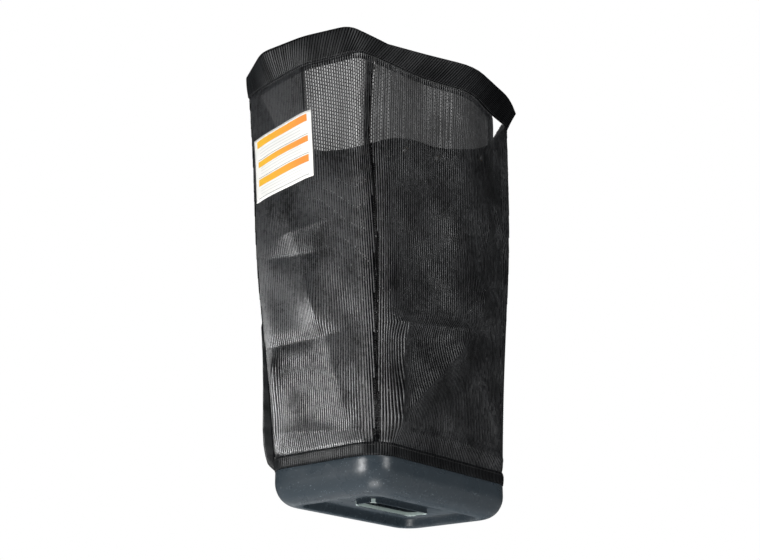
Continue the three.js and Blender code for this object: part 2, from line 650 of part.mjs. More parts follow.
// The cloth turned in under the band; at the front it stops short of the notch
function turnInGeometry(k) {
  const way = MESH_THICKNESS / 2 + CLOTH_GAP;
  const { columns } = SIDES[k];
  const notchWay = NOTCH_FROM_SEAM + NOTCH_WIDTH + TURN_IN_NOTCH_GAP;
  return skinSolid(columns, 1, (i, j) => {
    const level = 1 - (j === 0 ? TURN_IN_WIDTH : CLOTH_GAP) / PANEL_HEIGHT;
    const width = sideWidthAt(k, level);
    const first = TURN_IN_SEAM_WAY / width;
    const last = 1 - (k === FRONT ? notchWay : TURN_IN_SEAM_WAY) / width;
    const spot = panelSpot(k, first + (last - first) * (i / columns), level);
    return [offsetPoint(spot, -way), offsetPoint(spot, -way - ALLOWANCE_THICKNESS)];
  });
}

function labelGeometry() {
  const [first, last] = LABEL_COLUMNS;
  const columns = last - first;
  const way = MESH_THICKNESS / 2 + RIB_RISE + CLOTH_GAP;
  return skinSolid(columns, LABEL_ROWS, (i, j) => {
    const u = i / columns;
    const [low, high] = [0, 1].map((n) => LABEL_LEVELS.left[n] * (1 - u) + LABEL_LEVELS.right[n] * u);
    const spot = panelSpot(LABEL, (first + i) / SHORT_COLUMNS, low + ((high - low) * j) / LABEL_ROWS);
    return [offsetPoint(spot, way + LABEL_THICKNESS), offsetPoint(spot, way)];
  });
}

function labelSeamGeometry() {
  const low = LABEL_LEVELS.right[1] + LABEL_SEAM_GAPS.low / PANEL_HEIGHT;
  const high = PANEL_HEAD - LABEL_SEAM_GAPS.high / PANEL_HEIGHT;
  const way = MESH_THICKNESS / 2 + RIB_RISE + SEAT_GAP;
  return skinSolid(1, 3, (i, j) => {
    const level = low + (high - low) * (j / 3);
    const share = LABEL_SEAM_SHARE + ((i - 0.5) * LABEL_SEAM_WIDTH) / sideWidthAt(LABEL, level);
    const spot = panelSpot(LABEL, share, level);
    return [offsetPoint(spot, way + LABEL_SEAM_THICKNESS), offsetPoint(spot, way)];
  });
}

const paint = (color, roughness, metalness = 0) => (
  new THREE.MeshStandardMaterial({ color, roughness, metalness }));
const meshCloth = paint(0x303234, 0.8);
const doubleCloth = paint(0x26282a, 0.85);
const capPlastic = paint(0x4a5257, 0.5);
const brass = paint(0xb08a45, 0.35, 1);
const labelWhite = paint(0xf6f5ef, 0.55);

const bag = new THREE.Group();
const addMesh = (name, geometry, material) => {
  const mesh = new THREE.Mesh(geometry, material);
  mesh.name = name;
  bag.add(mesh);
};

addMesh('end_cap', capSolid(), capPlastic);
addMesh('front_mesh_panel', notchedFront(), meshCloth);
addMesh('eyelet_side_mesh_panel', panelGeometry(RIGHT), meshCloth);
addMesh('back_mesh_panel', panelGeometry(BACK), meshCloth);
addMesh('label_side_mesh_panel', panelGeometry(LABEL), meshCloth);
addMesh('near_seam_allowance', allowanceGeometry(LABEL, true), doubleCloth);
addMesh('right_seam_allowance', allowanceGeometry(RIGHT, false), doubleCloth);
addMesh('far_seam_allowance', allowanceGeometry(RIGHT, true), doubleCloth);
addMesh('left_seam_allowance', allowanceGeometry(LABEL, false), doubleCloth);
addMesh('left_seam_fin', finGeometry(), doubleCloth);
addMesh('mouth_band', bandSolid(), doubleCloth);
addMesh('front_turn_in', turnInGeometry(FRONT), doubleCloth);
addMesh('eyelet_side_turn_in', turnInGeometry(RIGHT), doubleCloth);
addMesh('back_turn_in', turnInGeometry(BACK), doubleCloth);
addMesh('label_side_turn_in', turnInGeometry(LABEL), doubleCloth);
addMesh('lower_binding', ringGeometry(1, (j) => (j * BINDING_HEIGHT) / PANEL_HEIGHT,
  () => BINDING_THICKNESS / 2, () => -BINDING_THICKNESS / 2), doubleCloth);
addMesh('label_patch', labelGeometry(), labelWhite);
addMesh('label_side_seam_tape', labelSeamGeometry(), doubleCloth);
eyeletSpots.forEach((spot, n) => {
  addMesh(`eyelet_${n + 1}`, eyeletGeometry(spot), brass);
  addMesh(`eyelet_washer_${n + 1}`, washerGeometry(spot), brass);
});

// The middle of the whole bag's outline, not the cap's, stands over the origin
const extent = new THREE.Box3().setFromObject(bag);
const middle = extent.getCenter(new THREE.Vector3());
bag.position.set(-middle.x, -middle.y, -extent.min.z);

export default bag;
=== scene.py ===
"""A walk-behind mower's grass collection bag: ribbed black mesh sewn round a slate end cap.

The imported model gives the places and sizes. Each of its solids is replaced by a finer
surface that lies on the same shape: open mesh with real gaps, doubled cloth, stitching,
a grained moulded cap, brass eyelets and a plain printed patch.
"""
import logging
import math
from dataclasses import dataclass, field
from enum import Enum
from functools import partial
from typing import Callable, Sequence

import bpy
import numpy as np
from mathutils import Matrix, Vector


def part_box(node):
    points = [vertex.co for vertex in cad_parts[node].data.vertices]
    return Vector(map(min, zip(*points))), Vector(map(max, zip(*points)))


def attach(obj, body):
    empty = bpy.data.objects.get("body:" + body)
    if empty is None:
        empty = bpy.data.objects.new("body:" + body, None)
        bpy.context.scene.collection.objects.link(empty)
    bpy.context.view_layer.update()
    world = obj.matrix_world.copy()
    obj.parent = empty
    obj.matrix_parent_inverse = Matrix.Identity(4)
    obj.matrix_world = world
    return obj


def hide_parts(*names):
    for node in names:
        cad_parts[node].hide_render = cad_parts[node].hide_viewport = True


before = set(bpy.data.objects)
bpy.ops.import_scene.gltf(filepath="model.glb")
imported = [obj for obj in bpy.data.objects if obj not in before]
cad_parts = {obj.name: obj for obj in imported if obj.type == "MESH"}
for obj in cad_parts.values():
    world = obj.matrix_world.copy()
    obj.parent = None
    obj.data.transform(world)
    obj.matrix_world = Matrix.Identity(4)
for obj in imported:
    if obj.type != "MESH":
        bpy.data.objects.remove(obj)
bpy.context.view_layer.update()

logging.basicConfig(level=logging.INFO, format="%(levelname)s %(message)s")
LOG = logging.getLogger("grass_bag")

MM = 0.001
SEED = 11
# Points across one rib, in the panels and in the ribbed strips
PER_RIB = 4

Array = np.ndarray
Setting = object
Span = tuple[float, float]
Place = tuple[Array, Array]


class Side(Enum):
    """The four upright sides, in order round the bag from the near corner seam."""

    FRONT = 0
    EYELET = 1
    BACK = 2
    LABEL = 3

    @property
    def following(self) -> "Side":
        """The next side round the bag."""
        return Side((self.value + 1) % 4)

    @property
    def before(self) -> "Side":
        """The side that ends where this one starts."""
        return Side((self.value + 3) % 4)


SIDE_NAMES = {Side.FRONT: "front", Side.EYELET: "eyelet_side", Side.BACK: "back", Side.LABEL: "label_side"}


def srgb(code: str) -> tuple[float, float, float, float]:
    """Turn an sRGB hex colour into a linear RGBA value.

    Args:
        code: six hex digits, with or without a leading hash.

    Returns:
        The colour as Blender's sockets read it, with full alpha.
    """
    digits = code.lstrip("#")
    shares = [int(digits[i:i + 2], 16) / 255 for i in (0, 2, 4)]
    linear = [c / 12.92 if c <= 0.04045 else ((c + 0.055) / 1.055) ** 2.4 for c in shares]
    return (linear[0], linear[1], linear[2], 1.0)


def cells(size: float) -> float:
    """A noise texture's scale for a pattern of this size, in mm."""
    return 1 / (size * MM)


def ease(x: Array) -> Array:
    """Smooth step from 0 to 1 for x from 0 to 1."""
    v = np.clip(x, 0.0, 1.0)
    return v * v * (3 - 2 * v)


def unit(vectors: Array) -> Array:
    """The vectors made one long."""
    return vectors / np.linalg.norm(vectors, axis=-1, keepdims=True)


def run_of(points: Array) -> Array:
    """The way along a line of points, up to each one."""
    return np.r_[0.0, np.cumsum(np.linalg.norm(np.diff(points, axis=0), axis=1))]


def along(way: Array, run: Array, values: Array) -> Array:
    """The values of a line of points, read at some ways along it.

    Args:
        way: how far along, of any shape.
        run: the way along up to each point.
        values: three values for each point.

    Returns:
        Three values for each way.
    """
    return np.stack([np.interp(way, run, values[:, n]) for n in range(3)], -1)


class Graph:
    """A node tree, with one way to add a node, its settings and its links."""

    def __init__(self, owner: bpy.types.Material | bpy.types.World) -> None:
        """Empty the tree of a new material or world."""
        self.owner = owner
        owner.use_nodes = True
        self.tree = owner.node_tree
        self.tree.nodes.clear()

    def add(self, kind: str, inputs: dict[int | str, Setting] | None = None,
            **settings: Setting) -> bpy.types.Node:
        """Add one node.

        Args:
            kind: the node's type name.
            inputs: for its inputs by name or number, a value, an output socket, or a node
                whose first output is meant.
            **settings: attributes set on the node itself.

        Returns:
            The new node.
        """
        node = self.tree.nodes.new(kind)
        for key, value in settings.items():
            setattr(node, key, value)
        for key, value in (inputs or {}).items():
            if isinstance(value, bpy.types.Node):
                value = value.outputs[0]
            if isinstance(value, bpy.types.NodeSocket):
                self.tree.links.new(value, node.inputs[key])
            else:
                node.inputs[key].default_value = value
        return node

    def stops(self, node: bpy.types.Node, stops: Sequence[tuple[float, str]],
              mode: str = "LINEAR") -> bpy.types.Node:
        """Set a colour ramp's stops.

        Args:
            node: the colour ramp.
            stops: each stop's position and sRGB hex colour, from left to right.
            mode: how the ramp goes from one stop to the next.

        Returns:
            The same node.
        """
        ramp = node.color_ramp
        ramp.interpolation = mode
        while len(ramp.elements) > 1:
            ramp.elements.remove(ramp.elements[-1])
        ramp.elements[0].position = stops[0][0]
        ramp.elements[0].color = srgb(stops[0][1])
        for position, code in stops[1:]:
            ramp.elements.new(position).color = srgb(code)
        return node

    def finish(self, shader: bpy.types.Node) -> bpy.types.Material | bpy.types.World:
        """Join the last shader to the output.

        Args:
            shader: the shader that is seen.

        Returns:
            The material or world that holds the tree.
        """
        is_world = isinstance(self.owner, bpy.types.World)
        self.add("ShaderNodeOutputWorld" if is_world else "ShaderNodeOutputMaterial", {"Surface": shader})
        return self.owner


@dataclass(frozen=True)
class ClothFinish:
    """Black warp-knit polyester, its colour painted lighter along each rib's crest as a painted highlight
    and darker in the valleys as a painted shade.

    Real filaments are about a tenth of a millimetre thick. They are drawn ten times as
    coarse, so that their glint shows in a picture of the whole bag.
    """

    name: str
    # The first colour is painted shade in the rib valleys and the last a painted highlight on the crests;
    # they are also the darkest and lightest random tones
    valley: str = "#070708"
    yarn: str = "#131415"
    crest_highlight_and_light_tone: str = "#303235"
    roughness: float = 0.37
    gloss: float = 2.0
    pores: float = 0.0
    ribbed: bool = True
    dusty_patch: float = 71.43
    filament: float = 1.1111
    filament_height: float = 0.4

    def build(self) -> bpy.types.Material:
        """Make the material; its pattern is scaled in millimetres, or counted in ribs."""
        g = Graph(bpy.data.materials.new(self.name))
        place = g.add("ShaderNodeTexCoord").outputs["Object"]
        # Uneven dye and dust, in patches a hand wide, so the cloth isn't one flat tone
        patches = g.add("ShaderNodeTexNoise", {"Vector": place, "Scale": cells(self.dusty_patch),
                                               "Detail": 4.0})
        yarn = g.add("ShaderNodeTexNoise", {"Vector": place, "Scale": cells(self.filament), "Detail": 2.0})
        mixed = g.add("ShaderNodeMath", {0: patches, 1: yarn}, operation="MULTIPLY")
        if self.ribbed:
            for pattern in self._ribs(g):
                mixed = g.add("ShaderNodeMath", {0: mixed, 1: pattern}, operation="MULTIPLY")
        # Painted shade in the rib valleys and a painted highlight on the crests, over random tone from the
        # noise
        tone = g.stops(g.add("ShaderNodeValToRGB", {"Fac": mixed}),
                       [(0.04, self.valley), (0.22, self.yarn), (0.60, self.crest_highlight_and_light_tone)])
        bump = g.add("ShaderNodeBump", {"Height": yarn, "Strength": 0.35,
                                        "Distance": self.filament_height * MM})
        # Only the taut filaments on top of each stitch shine; the valleys stay matt
        shine = g.add("ShaderNodeMapRange", {"Value": mixed, "From Min": 0.06, "From Max": 0.42,
                                             "To Min": 0.0, "To Max": self.gloss})
        shader = g.add("ShaderNodeBsdfPrincipled", {
            "Base Color": tone, "Roughness": self.roughness, "Specular IOR Level": shine,
            "Normal": bump})
        if self.pores:
            # Pores between the filaments, far finer than the gaps, let a little daylight through
            clear = g.add("ShaderNodeBsdfTransparent")
            shader = g.add("ShaderNodeMixShader", {0: self.pores, 1: shader, 2: clear})
        return g.finish(shader)

    @staticmethod
    def _ribs(g: Graph) -> tuple[bpy.types.Node, bpy.types.Node]:
        """Add the two patterns that the rib count drives.

        Args:
            g: the material's graph.

        Returns:
            One value for each stitch, 0.8 to 1.3, and one that is high along each crest, where it paints a
            highlight, and low in the valleys, where it paints shade.
        """
        counted = g.add("ShaderNodeUVMap", uv_map="cloth")
        parts = g.add("ShaderNodeSeparateXYZ", {0: counted})
        moved = g.add("ShaderNodeMath", {0: parts.outputs[0], 1: 0.5}, operation="ADD")
        rib = g.add("ShaderNodeMath", {0: moved}, operation="FLOOR")
        row = g.add("ShaderNodeMath", {0: parts.outputs[1]}, operation="FLOOR")
        cell = g.add("ShaderNodeCombineXYZ", {0: rib, 1: row})
        chance = g.add("ShaderNodeTexWhiteNoise", {"Vector": cell}, noise_dimensions="2D")
        stitch = g.add("ShaderNodeMapRange", {"Value": chance, "To Min": 0.8, "To Max": 1.3})
        across = g.add("ShaderNodeMath", {0: moved}, operation="FRACT")
        # Painted highlight on each crest and painted shade in each valley
        crest = g.add("ShaderNodeMapRange", {"Value": across, "From Min": 0.3, "From Max": 0.55,
                                             "To Min": 0.25, "To Max": 1.7})
        return stitch, crest


@dataclass(frozen=True)
class PlasticFinish:
    """Injection-moulded polyolefin with a fine spark grain, so highlights break up.

    Such a grain is a few tenths of a millimetre. It is drawn at about a millimetre, so
    that it shows.
    """

    name: str
    slot_centre: tuple[float, float]
    slot_half: tuple[float, float]
    base: str = "#2E363C"
    fleck: str = "#7C878E"
    # A painted highlight on the lower part of the slot's inner face: its pale colour, its top height and
    # its margin
    slot_highlight_colour: str = "#B4C2BE"
    slot_highlight_height: float = 11.0
    slot_highlight_margin: float = 0.2
    roughness: float = 0.27
    grain: float = 1.1111
    grain_height: float = 0.35
    fleck_size: float = 1.9231
    handled_size: float = 45.45

    def build(self) -> bpy.types.Material:
        """Make the material, in millimetres round the hand slot."""
        g = Graph(bpy.data.materials.new(self.name))
        place = g.add("ShaderNodeTexCoord").outputs["Object"]
        grain = g.add("ShaderNodeTexNoise", {"Vector": place, "Scale": cells(self.grain), "Detail": 3.0})
        # Single pale flecks about a millimetre wide, scattered over the slate
        scatter = g.add("ShaderNodeTexNoise", {"Vector": place, "Scale": cells(self.fleck_size),
                                               "Detail": 1.0})
        flecks = g.stops(g.add("ShaderNodeValToRGB", {"Fac": scatter}),
                         [(0.0, self.base), (0.70, self.base), (0.76, self.fleck)])
        # Painted highlight: the lower part of the slot's inner face is painted pale
        inner = self._slot_highlight_mask(g, g.add("ShaderNodeSeparateXYZ", {0: place}))
        colour = g.add("ShaderNodeMix", {0: inner, 6: flecks, 7: srgb(self.slot_highlight_colour)}, data_type="RGBA")
        # Slow changes in gloss from handling
        handled = g.add("ShaderNodeTexNoise", {"Vector": place, "Scale": cells(self.handled_size),
                                               "Detail": 3.0})
        gloss = g.add("ShaderNodeMapRange", {
            "Value": handled, "From Min": 0.3, "From Max": 0.7,
            "To Min": self.roughness - 0.06, "To Max": self.roughness + 0.1})
        bump = g.add("ShaderNodeBump", {"Height": grain, "Strength": 0.5,
                                        "Distance": self.grain_height * MM})
        shader = g.add("ShaderNodeBsdfPrincipled", {
            "Base Color": colour.outputs[2], "Roughness": gloss, "Normal": bump,
            "Specular IOR Level": 0.5})
        return g.finish(shader)

    def _slot_highlight_mask(self, g: Graph, parts: bpy.types.Node) -> bpy.types.Node:
        """Mark the lower part of the slot's inner face, which is painted pale as a painted highlight.

        Args:
            g: the material's graph.
            parts: the place's three coordinates.

        Returns:
            A value of 1 on that face and 0 elsewhere.
        """
        edge = g.add("ShaderNodeMath", {0: parts.outputs[2], 1: self.slot_highlight_height * MM},
                     operation="SUBTRACT")
        for n, (centre, half) in enumerate(zip(self.slot_centre, self.slot_half)):
            far = g.add("ShaderNodeMath", {0: parts.outputs[n], 1: centre * MM}, operation="SUBTRACT")
            size = g.add("ShaderNodeMath", {0: far}, operation="ABSOLUTE")
            away = g.add("ShaderNodeMath", {0: size, 1: half * MM}, operation="SUBTRACT")
            edge = g.add("ShaderNodeMath", {0: edge, 1: away}, operation="MAXIMUM")
        return g.add("ShaderNodeMath", {0: edge, 1: self.slot_highlight_margin * MM}, operation="LESS_THAN")


@dataclass(frozen=True)
class BrassFinish:
    """Pressed brass strip, rolled bright and a little tarnished, so it glows only in spots."""

    name: str
    bright: str = "#C9A25A"
    dull: str = "#8A6A35"
    tarnish_spot: float = 3.8462

    def build(self) -> bpy.types.Material:
        """Make the material."""
        g = Graph(bpy.data.materials.new(self.name))
        place = g.add("ShaderNodeTexCoord").outputs["Object"]
        tarnish = g.add("ShaderNodeTexNoise", {"Vector": place, "Scale": cells(self.tarnish_spot),
                                               "Detail": 3.0})
        tone = g.stops(g.add("ShaderNodeValToRGB", {"Fac": tarnish}),
                       [(0.35, self.dull), (0.6, self.bright)])
        return g.finish(g.add("ShaderNodeBsdfPrincipled", {
            "Base Color": tone, "Metallic": 1.0, "Roughness": 0.32}))


@dataclass(frozen=True)
class PatchFinish:
    """White coated film, printed in flat fields: three amber bars and thin grey rules.

    The fields are given as shares of the patch's own width and height.
    """

    name: str
    white: str = "#F1F0EC"
    amber_left: str = "#F4BC3A"
    amber_right: str = "#F09544"
    rule: str = "#7A7B79"
    faint: str = "#D9D9D6"
    print_ends: Span = (0.055, 0.945)
    bars: tuple[Span, ...] = ((0.236, 0.344), (0.541, 0.631), (0.846, 0.957))
    rules: tuple[Span, ...] = ((0.040, 0.048), (0.364, 0.372), (0.650, 0.658))
    line_ends: Span = (0.10, 0.84)
    line_height: float = 0.013
    lines: tuple[float, ...] = (0.10, 0.145, 0.19, 0.42, 0.465, 0.51, 0.70, 0.745, 0.79)

    def build(self) -> bpy.types.Material:
        """Make the material, one printed layer over another."""
        g = Graph(bpy.data.materials.new(self.name))
        parts = g.add("ShaderNodeSeparateXYZ", {0: g.add("ShaderNodeUVMap", uv_map="patch")})
        amber = g.stops(g.add("ShaderNodeValToRGB", {"Fac": parts}),
                        [(0.15, self.amber_left), (0.85, self.amber_right)])
        lines = [(v, v + self.line_height) for v in self.lines]
        layer: Setting = srgb(self.white)
        for bands, ends, ink in ((lines, self.line_ends, srgb(self.faint)),
                                 (self.rules, self.print_ends, srgb(self.rule)),
                                 (self.bars, self.print_ends, amber)):
            mask = self._mask(g, parts, bands, ends)
            layer = g.add("ShaderNodeMix", {0: mask, 6: layer, 7: ink}, data_type="RGBA").outputs[2]
        return g.finish(g.add("ShaderNodeBsdfPrincipled", {"Base Color": layer, "Roughness": 0.45}))

    @staticmethod
    def _mask(g: Graph, parts: bpy.types.Node, bands: Sequence[Span], ends: Span) -> bpy.types.Node:
        """Mark level bands on the patch.

        Args:
            g: the material's graph.
            parts: the place across and up the patch.
            bands: where each band starts and ends, going up.
            ends: where all of them start and end, going across.

        Returns:
            A value of 1 inside the bands and 0 elsewhere.
        """
        ramps = []
        for way, spans in ((1, bands), (0, [ends])):
            stops = [(0.0, "000000")]
            for low, high in spans:
                stops += [(low, "FFFFFF"), (high, "000000")]
            ramp = g.add("ShaderNodeValToRGB", {"Fac": parts.outputs[way]})
            ramps.append(g.stops(ramp, stops, "CONSTANT"))
        return g.add("ShaderNodeMath", {0: ramps[0], 1: ramps[1]}, operation="MULTIPLY")


@dataclass(frozen=True)
class Crease:
    """A fold line in one side.

    Its ends are shares of the side's width and height; its reach to each side and its rise
    are in mm.
    """

    side: Side
    start: tuple[float, float]
    end: tuple[float, float]
    reach: float
    rise: float


Corner = tuple[float, float, float]
LoopShape = tuple[tuple[Corner, ...], tuple[tuple[Corner, ...], ...]]


@dataclass(frozen=True)
class BagShape:
    """The cloth's middle surface in the row frame.

    Level 0 is the cap's edge, 1 the seam under the mouth band and 2 the mouth. Shares run
    from one corner seam to the next, the way Side is ordered. Sizes are in mm.

    The mouth and the band's seam are given as how far they lie from the cap's outline: for
    each corner along x, along y and down from the mouth's height, and for each side's points
    as a share of that side, the way out and the way down.
    """

    cap_centre: tuple[float, float]
    cap_length: float = 343.0
    cap_width: float = 222.0
    wall_height: float = 52.0
    bag_height: float = 725.0
    band_height: float = 45.0
    seat_gap: float = 0.3
    corner_radius: float = 40.0
    binding_thickness: float = 2.6
    binding_height: float = 19.0
    # The share of each side over which the mouth's and the band seam's corners are rounded off
    softness: tuple[float, ...] = (0.09, 0.09, 0.09, 0.05)
    rim: LoopShape = (
        ((24.5, -0.5, 8), (0.5, -32.5, 14), (-75.5, -14.5, 23), (-32.5, 35.5, 3)),
        (((0.272, 32.5, 9), (0.471, 73.5, 14), (0.747, 59.5, 13), (0.871, 49.5, 7)),
         ((0.066, 30.5, 24), (0.315, 56.5, 33), (0.629, 9.5, 30), (0.786, -54.5, 17)),
         ((0.334, 38.5, 41), (0.443, 69.5, 49), (0.605, 107.5, 47), (0.918, 51.5, 25)),
         ((0.186, 78.5, 3), (0.574, 74.5, 3), (0.92, 49.5, 0))))
    band_seam: LoopShape = (
        ((2.5, 6.5, 38), (-13.5, -19.5, 43), (-58.5, -0.5, 61), (-28.5, 32.5, 42)),
        (((0.272, 13.5, 45), (0.529, 50.5, 47), (0.757, 31.5, 47)),
         ((0.112, 34.5, 57), (0.38, 68.5, 71), (0.671, 22.5, 69), (0.851, -37.5, 55)),
         ((0.281, 53.5, 79), (0.405, 82.5, 90), (0.557, 122.5, 85), (0.89, 60.5, 63)),
         ((0.075, 43.5, 44), (0.528, 60.5, 45), (0.934, 30.5, 39))))
    # A corner seam's bow: its shift along x and y, how far it spreads along a side, and
    # the level of its middle and how far it reaches up and down
    bows: tuple[tuple[Side, tuple[float, float], float, float, float], ...] = (
        (Side.FRONT, (-5.0, 8.0), 0.35, 0.80, 0.17),
        (Side.EYELET, (5.0, -6.2), 0.30, 0.66, 0.30),
        (Side.LABEL, (-4.0, 5.0), 0.30, 0.52, 0.24))
    creases: tuple[Crease, ...] = (
        Crease(Side.FRONT, (0.76, 1.0), (0.71, 0.76), 60, 8),
        Crease(Side.FRONT, (0.71, 0.76), (0.745, 0.54), 70, 13),
        Crease(Side.FRONT, (0.745, 0.54), (0.645, 0.365), 70, 17),
        Crease(Side.FRONT, (0.645, 0.365), (0.10, 0.09), 66, 20),
        Crease(Side.FRONT, (0.05, 0.315), (0.645, 0.362), 28, 9),
        Crease(Side.FRONT, (0.16, 0.34), (0.09, 0.05), 28, 9),
        Crease(Side.FRONT, (0.80, 0.75), (1.0, 0.60), 26, 6),
        Crease(Side.FRONT, (0.055, 0.065), (0.60, 0.075), 22, 4),
        Crease(Side.FRONT, (0.55, 0.075), (0.97, 0.06), 26, 6),
        Crease(Side.FRONT, (0.93, 0.95), (0.95, 0.10), 24, -4),
        Crease(Side.LABEL, (0.30, 0.68), (0.45, 0.47), 50, 4),
        Crease(Side.LABEL, (0.45, 0.47), (0.63, 0.27), 56, 9),
        Crease(Side.LABEL, (0.63, 0.27), (0.82, 0.06), 50, 7),
        Crease(Side.LABEL, (0.22, 0.575), (0.70, 0.58), 24, 1.5),
        Crease(Side.LABEL, (0.10, 0.53), (0.62, 0.50), 30, -2),
        Crease(Side.LABEL, (0.06, 0.30), (0.72, 0.295), 24, -2.5),
        Crease(Side.LABEL, (0.12, 0.085), (0.95, 0.055), 26, 3),
        Crease(Side.LABEL, (0.13, 0.28), (0.07, 0.06), 22, 6),
        Crease(Side.EYELET, (0.25, 0.85), (0.55, 0.35), 40, -8),
        Crease(Side.EYELET, (0.20, 0.30), (0.80, 0.24), 34, 5),
        Crease(Side.BACK, (0.30, 0.80), (0.62, 0.25), 55, 9),
        Crease(Side.BACK, (0.75, 0.95), (0.80, 0.45), 36, -7),
        Crease(Side.BACK, (0.15, 0.22), (0.70, 0.16), 40, 6))
    # The ways from the side seams, the cap and the band at which creases and waves are whole
    crease_margins: tuple[float, float, float] = (22.0, 40.0, 25.0)
    wave_margins: tuple[float, float, float] = (30.0, 60.0, 50.0)

    @property
    def panel_height(self) -> float:
        """Height from the cap's edge to the seam under the band."""
        return self.bag_height - self.wall_height - self.band_height

    def _side(self, side: Side) -> tuple[Array, Array, Array, float]:
        """Where one side of the cap's outline lies.

        Args:
            side: which side of the bag.

        Returns:
            Its first corner, the directions along it and out of it, and its length.
        """
        hx, hy = self.cap_length / 2, self.cap_width / 2
        corner = np.array([(-hx, -hy), (hx, -hy), (hx, hy), (-hx, hy)][side.value])
        ahead = np.array([(1, 0), (0, 1), (-1, 0), (0, -1)][side.value], float)
        out = np.array([(0, -1), (1, 0), (0, 1), (-1, 0)][side.value], float)
        return corner, ahead, out, (self.cap_length, self.cap_width)[side.value % 2]

    def _loop(self, shape: LoopShape, side: Side) -> Array:
        """The points of the mouth or the band's seam on one side.

        Args:
            shape: the corners and sides of the whole loop.
            side: which side of the bag.

        Returns:
            The points from one corner seam to the next.
        """
        corners, sides = shape
        corner, ahead, out, length = self._side(side)
        first, last = corners[side.value], corners[side.following.value]
        points = [(*(corner + first[:2]), self.bag_height - first[2])]
        for share, way, drop in sides[side.value]:
            points.append((*(corner + ahead * share * length + out * way), self.bag_height - drop))
        points.append((*(self._side(side.following)[0] + last[:2]), self.bag_height - last[2]))
        return np.array(points, float)

    @staticmethod
    def _soft(points: Array, share: Array, softness: float) -> Array:
        """Read a line of points with its corners rounded off.

        Args:
            points: the line's points.
            share: how far along it, 0 to 1.
            softness: the share of it that each value is averaged over, to each side.

        Returns:
            A point for each share.
        """
        run = run_of(points)
        reach = np.minimum(softness, np.minimum(share, 1 - share))
        total = np.zeros(share.shape + (3,))
        for step, weight in ((-1, 1), (-0.5, 2), (0, 2), (0.5, 2), (1, 1)):
            total += weight / 8 * along(np.clip(share + step * reach, 0, 1) * run[-1], run, points)
        return total

    def cap_outline(self, side: Side, share: Array, inset: float, radius: float, z: float) -> Array:
        """Points on one side of the cap's outline, from the middle of one corner to the next.

        Args:
            side: which side of the cap.
            share: how far along the side, 0 to 1.
            inset: how far the outline is set in.
            radius: its corner radius.
            z: the height of the points.

        Returns:
            Points round the cap's centre.
        """
        corner, ahead, out, whole = self._side(side)
        length = whole - 2 * inset
        half_arc = math.pi * radius / 4
        total = length - 2 * radius + 2 * half_arc
        way = share * total
        early = math.pi / 4 + np.clip(way, 0, half_arc) / radius
        late = np.clip(way - total + half_arc, 0, half_arc) / radius
        x = np.where(way < half_arc, radius - radius * np.cos(early),
                     np.where(way > total - half_arc, length - radius + radius * np.sin(late),
                              radius + way - half_arc))
        y = np.where(way < half_arc, radius * np.sin(early) - radius,
                     np.where(way > total - half_arc, radius * np.cos(late) - radius, 0.0))
        flat = (corner + (ahead - out) * inset)[None, :] + x[..., None] * ahead + y[..., None] * out
        return np.concatenate([flat, np.full(share.shape + (1,), z)], -1)

    def middle(self, side: Side, share: Array, level: Array) -> Array:
        """The surface before its creases.

        Args:
            side: which side of the bag.
            share: 0 to 1 between its corner seams.
            level: 0 at the cap, 1 at the band's seam, 2 at the mouth.

        Returns:
            Points round the cap's centre.
        """
        share, level = np.broadcast_arrays(np.asarray(share, float), np.asarray(level, float))
        flat_share, flat_level = share.ravel(), level.ravel()
        inset = self.binding_thickness / 2
        foot = self.cap_outline(side, flat_share, inset, self.corner_radius - inset,
                                self.wall_height + self.seat_gap)
        soft = self.softness[side.value]
        seam = self._soft(self._loop(self.band_seam, side), flat_share, soft)
        rim = self._soft(self._loop(self.rim, side), flat_share, soft)
        low = np.clip(flat_level, 0, 1)[:, None]
        high = np.clip(flat_level - 1, 0, 1)[:, None]
        point = foot * (1 - low) + seam * low + (rim - seam) * high
        for corner, shift, spread, height, reach in self.bows:
            if side in (corner, corner.before):
                away = flat_share if side is corner else 1 - flat_share
                near = np.clip(1 - away / spread, 0, 1) ** 2
                bow = near * np.exp(-((flat_level - height) / reach) ** 2)
                point[:, :2] += np.array(shift) * bow[:, None]
        return point.reshape(share.shape + (3,))

    def _free(self, side: Side, share: Array, level: Array, margins: tuple[float, float, float]) -> Array:
        """How freely the cloth can leave its middle surface.

        Args:
            side: which side of the bag.
            share: 0 to 1 between its corner seams.
            level: 0 at the cap, 1 at the band's seam.
            margins: the way from the side seams, the cap and the band at which it is free.

        Returns:
            0 where the cloth is sewn, up to 1 past the margins.
        """
        seam_way = np.minimum(share, 1 - share) * self.head_width(side)
        height = self.panel_height
        return (ease(seam_way / margins[0]) * ease(level * height / margins[1])
                * ease((1 - level) * height / margins[2]))

    def crease_rise(self, side: Side, share: Array, level: Array) -> Array:
        """How far the creases lift the cloth outwards.

        Args:
            side: which side of the bag.
            share: 0 to 1 between its corner seams.
            level: 0 at the cap, 1 at the band's seam.

        Returns:
            The lift at each place.
        """
        width, height = self.head_width(side), self.panel_height
        x, y = share * width, level * height
        rise = np.zeros(share.shape)
        for crease in (c for c in self.creases if c.side is side):
            x0, y0 = crease.start[0] * width, crease.start[1] * height
            dx, dy = crease.end[0] * width - x0, crease.end[1] * height - y0
            run = math.hypot(dx, dy)
            q = np.clip(((x - x0) * dx + (y - y0) * dy) / run ** 2, 0, 1)
            away = np.hypot(x - x0 - q * dx, y - y0 - q * dy)
            # A fold keeps a quarter of its rise at its ends, where it runs out
            fade = 0.25 + 0.75 * ease(np.minimum(q, 1 - q) * run / crease.reach)
            rise += crease.rise * np.clip(1 - away / crease.reach, 0, 1) ** 2 * fade
        return rise * self._free(side, share, level, self.crease_margins)

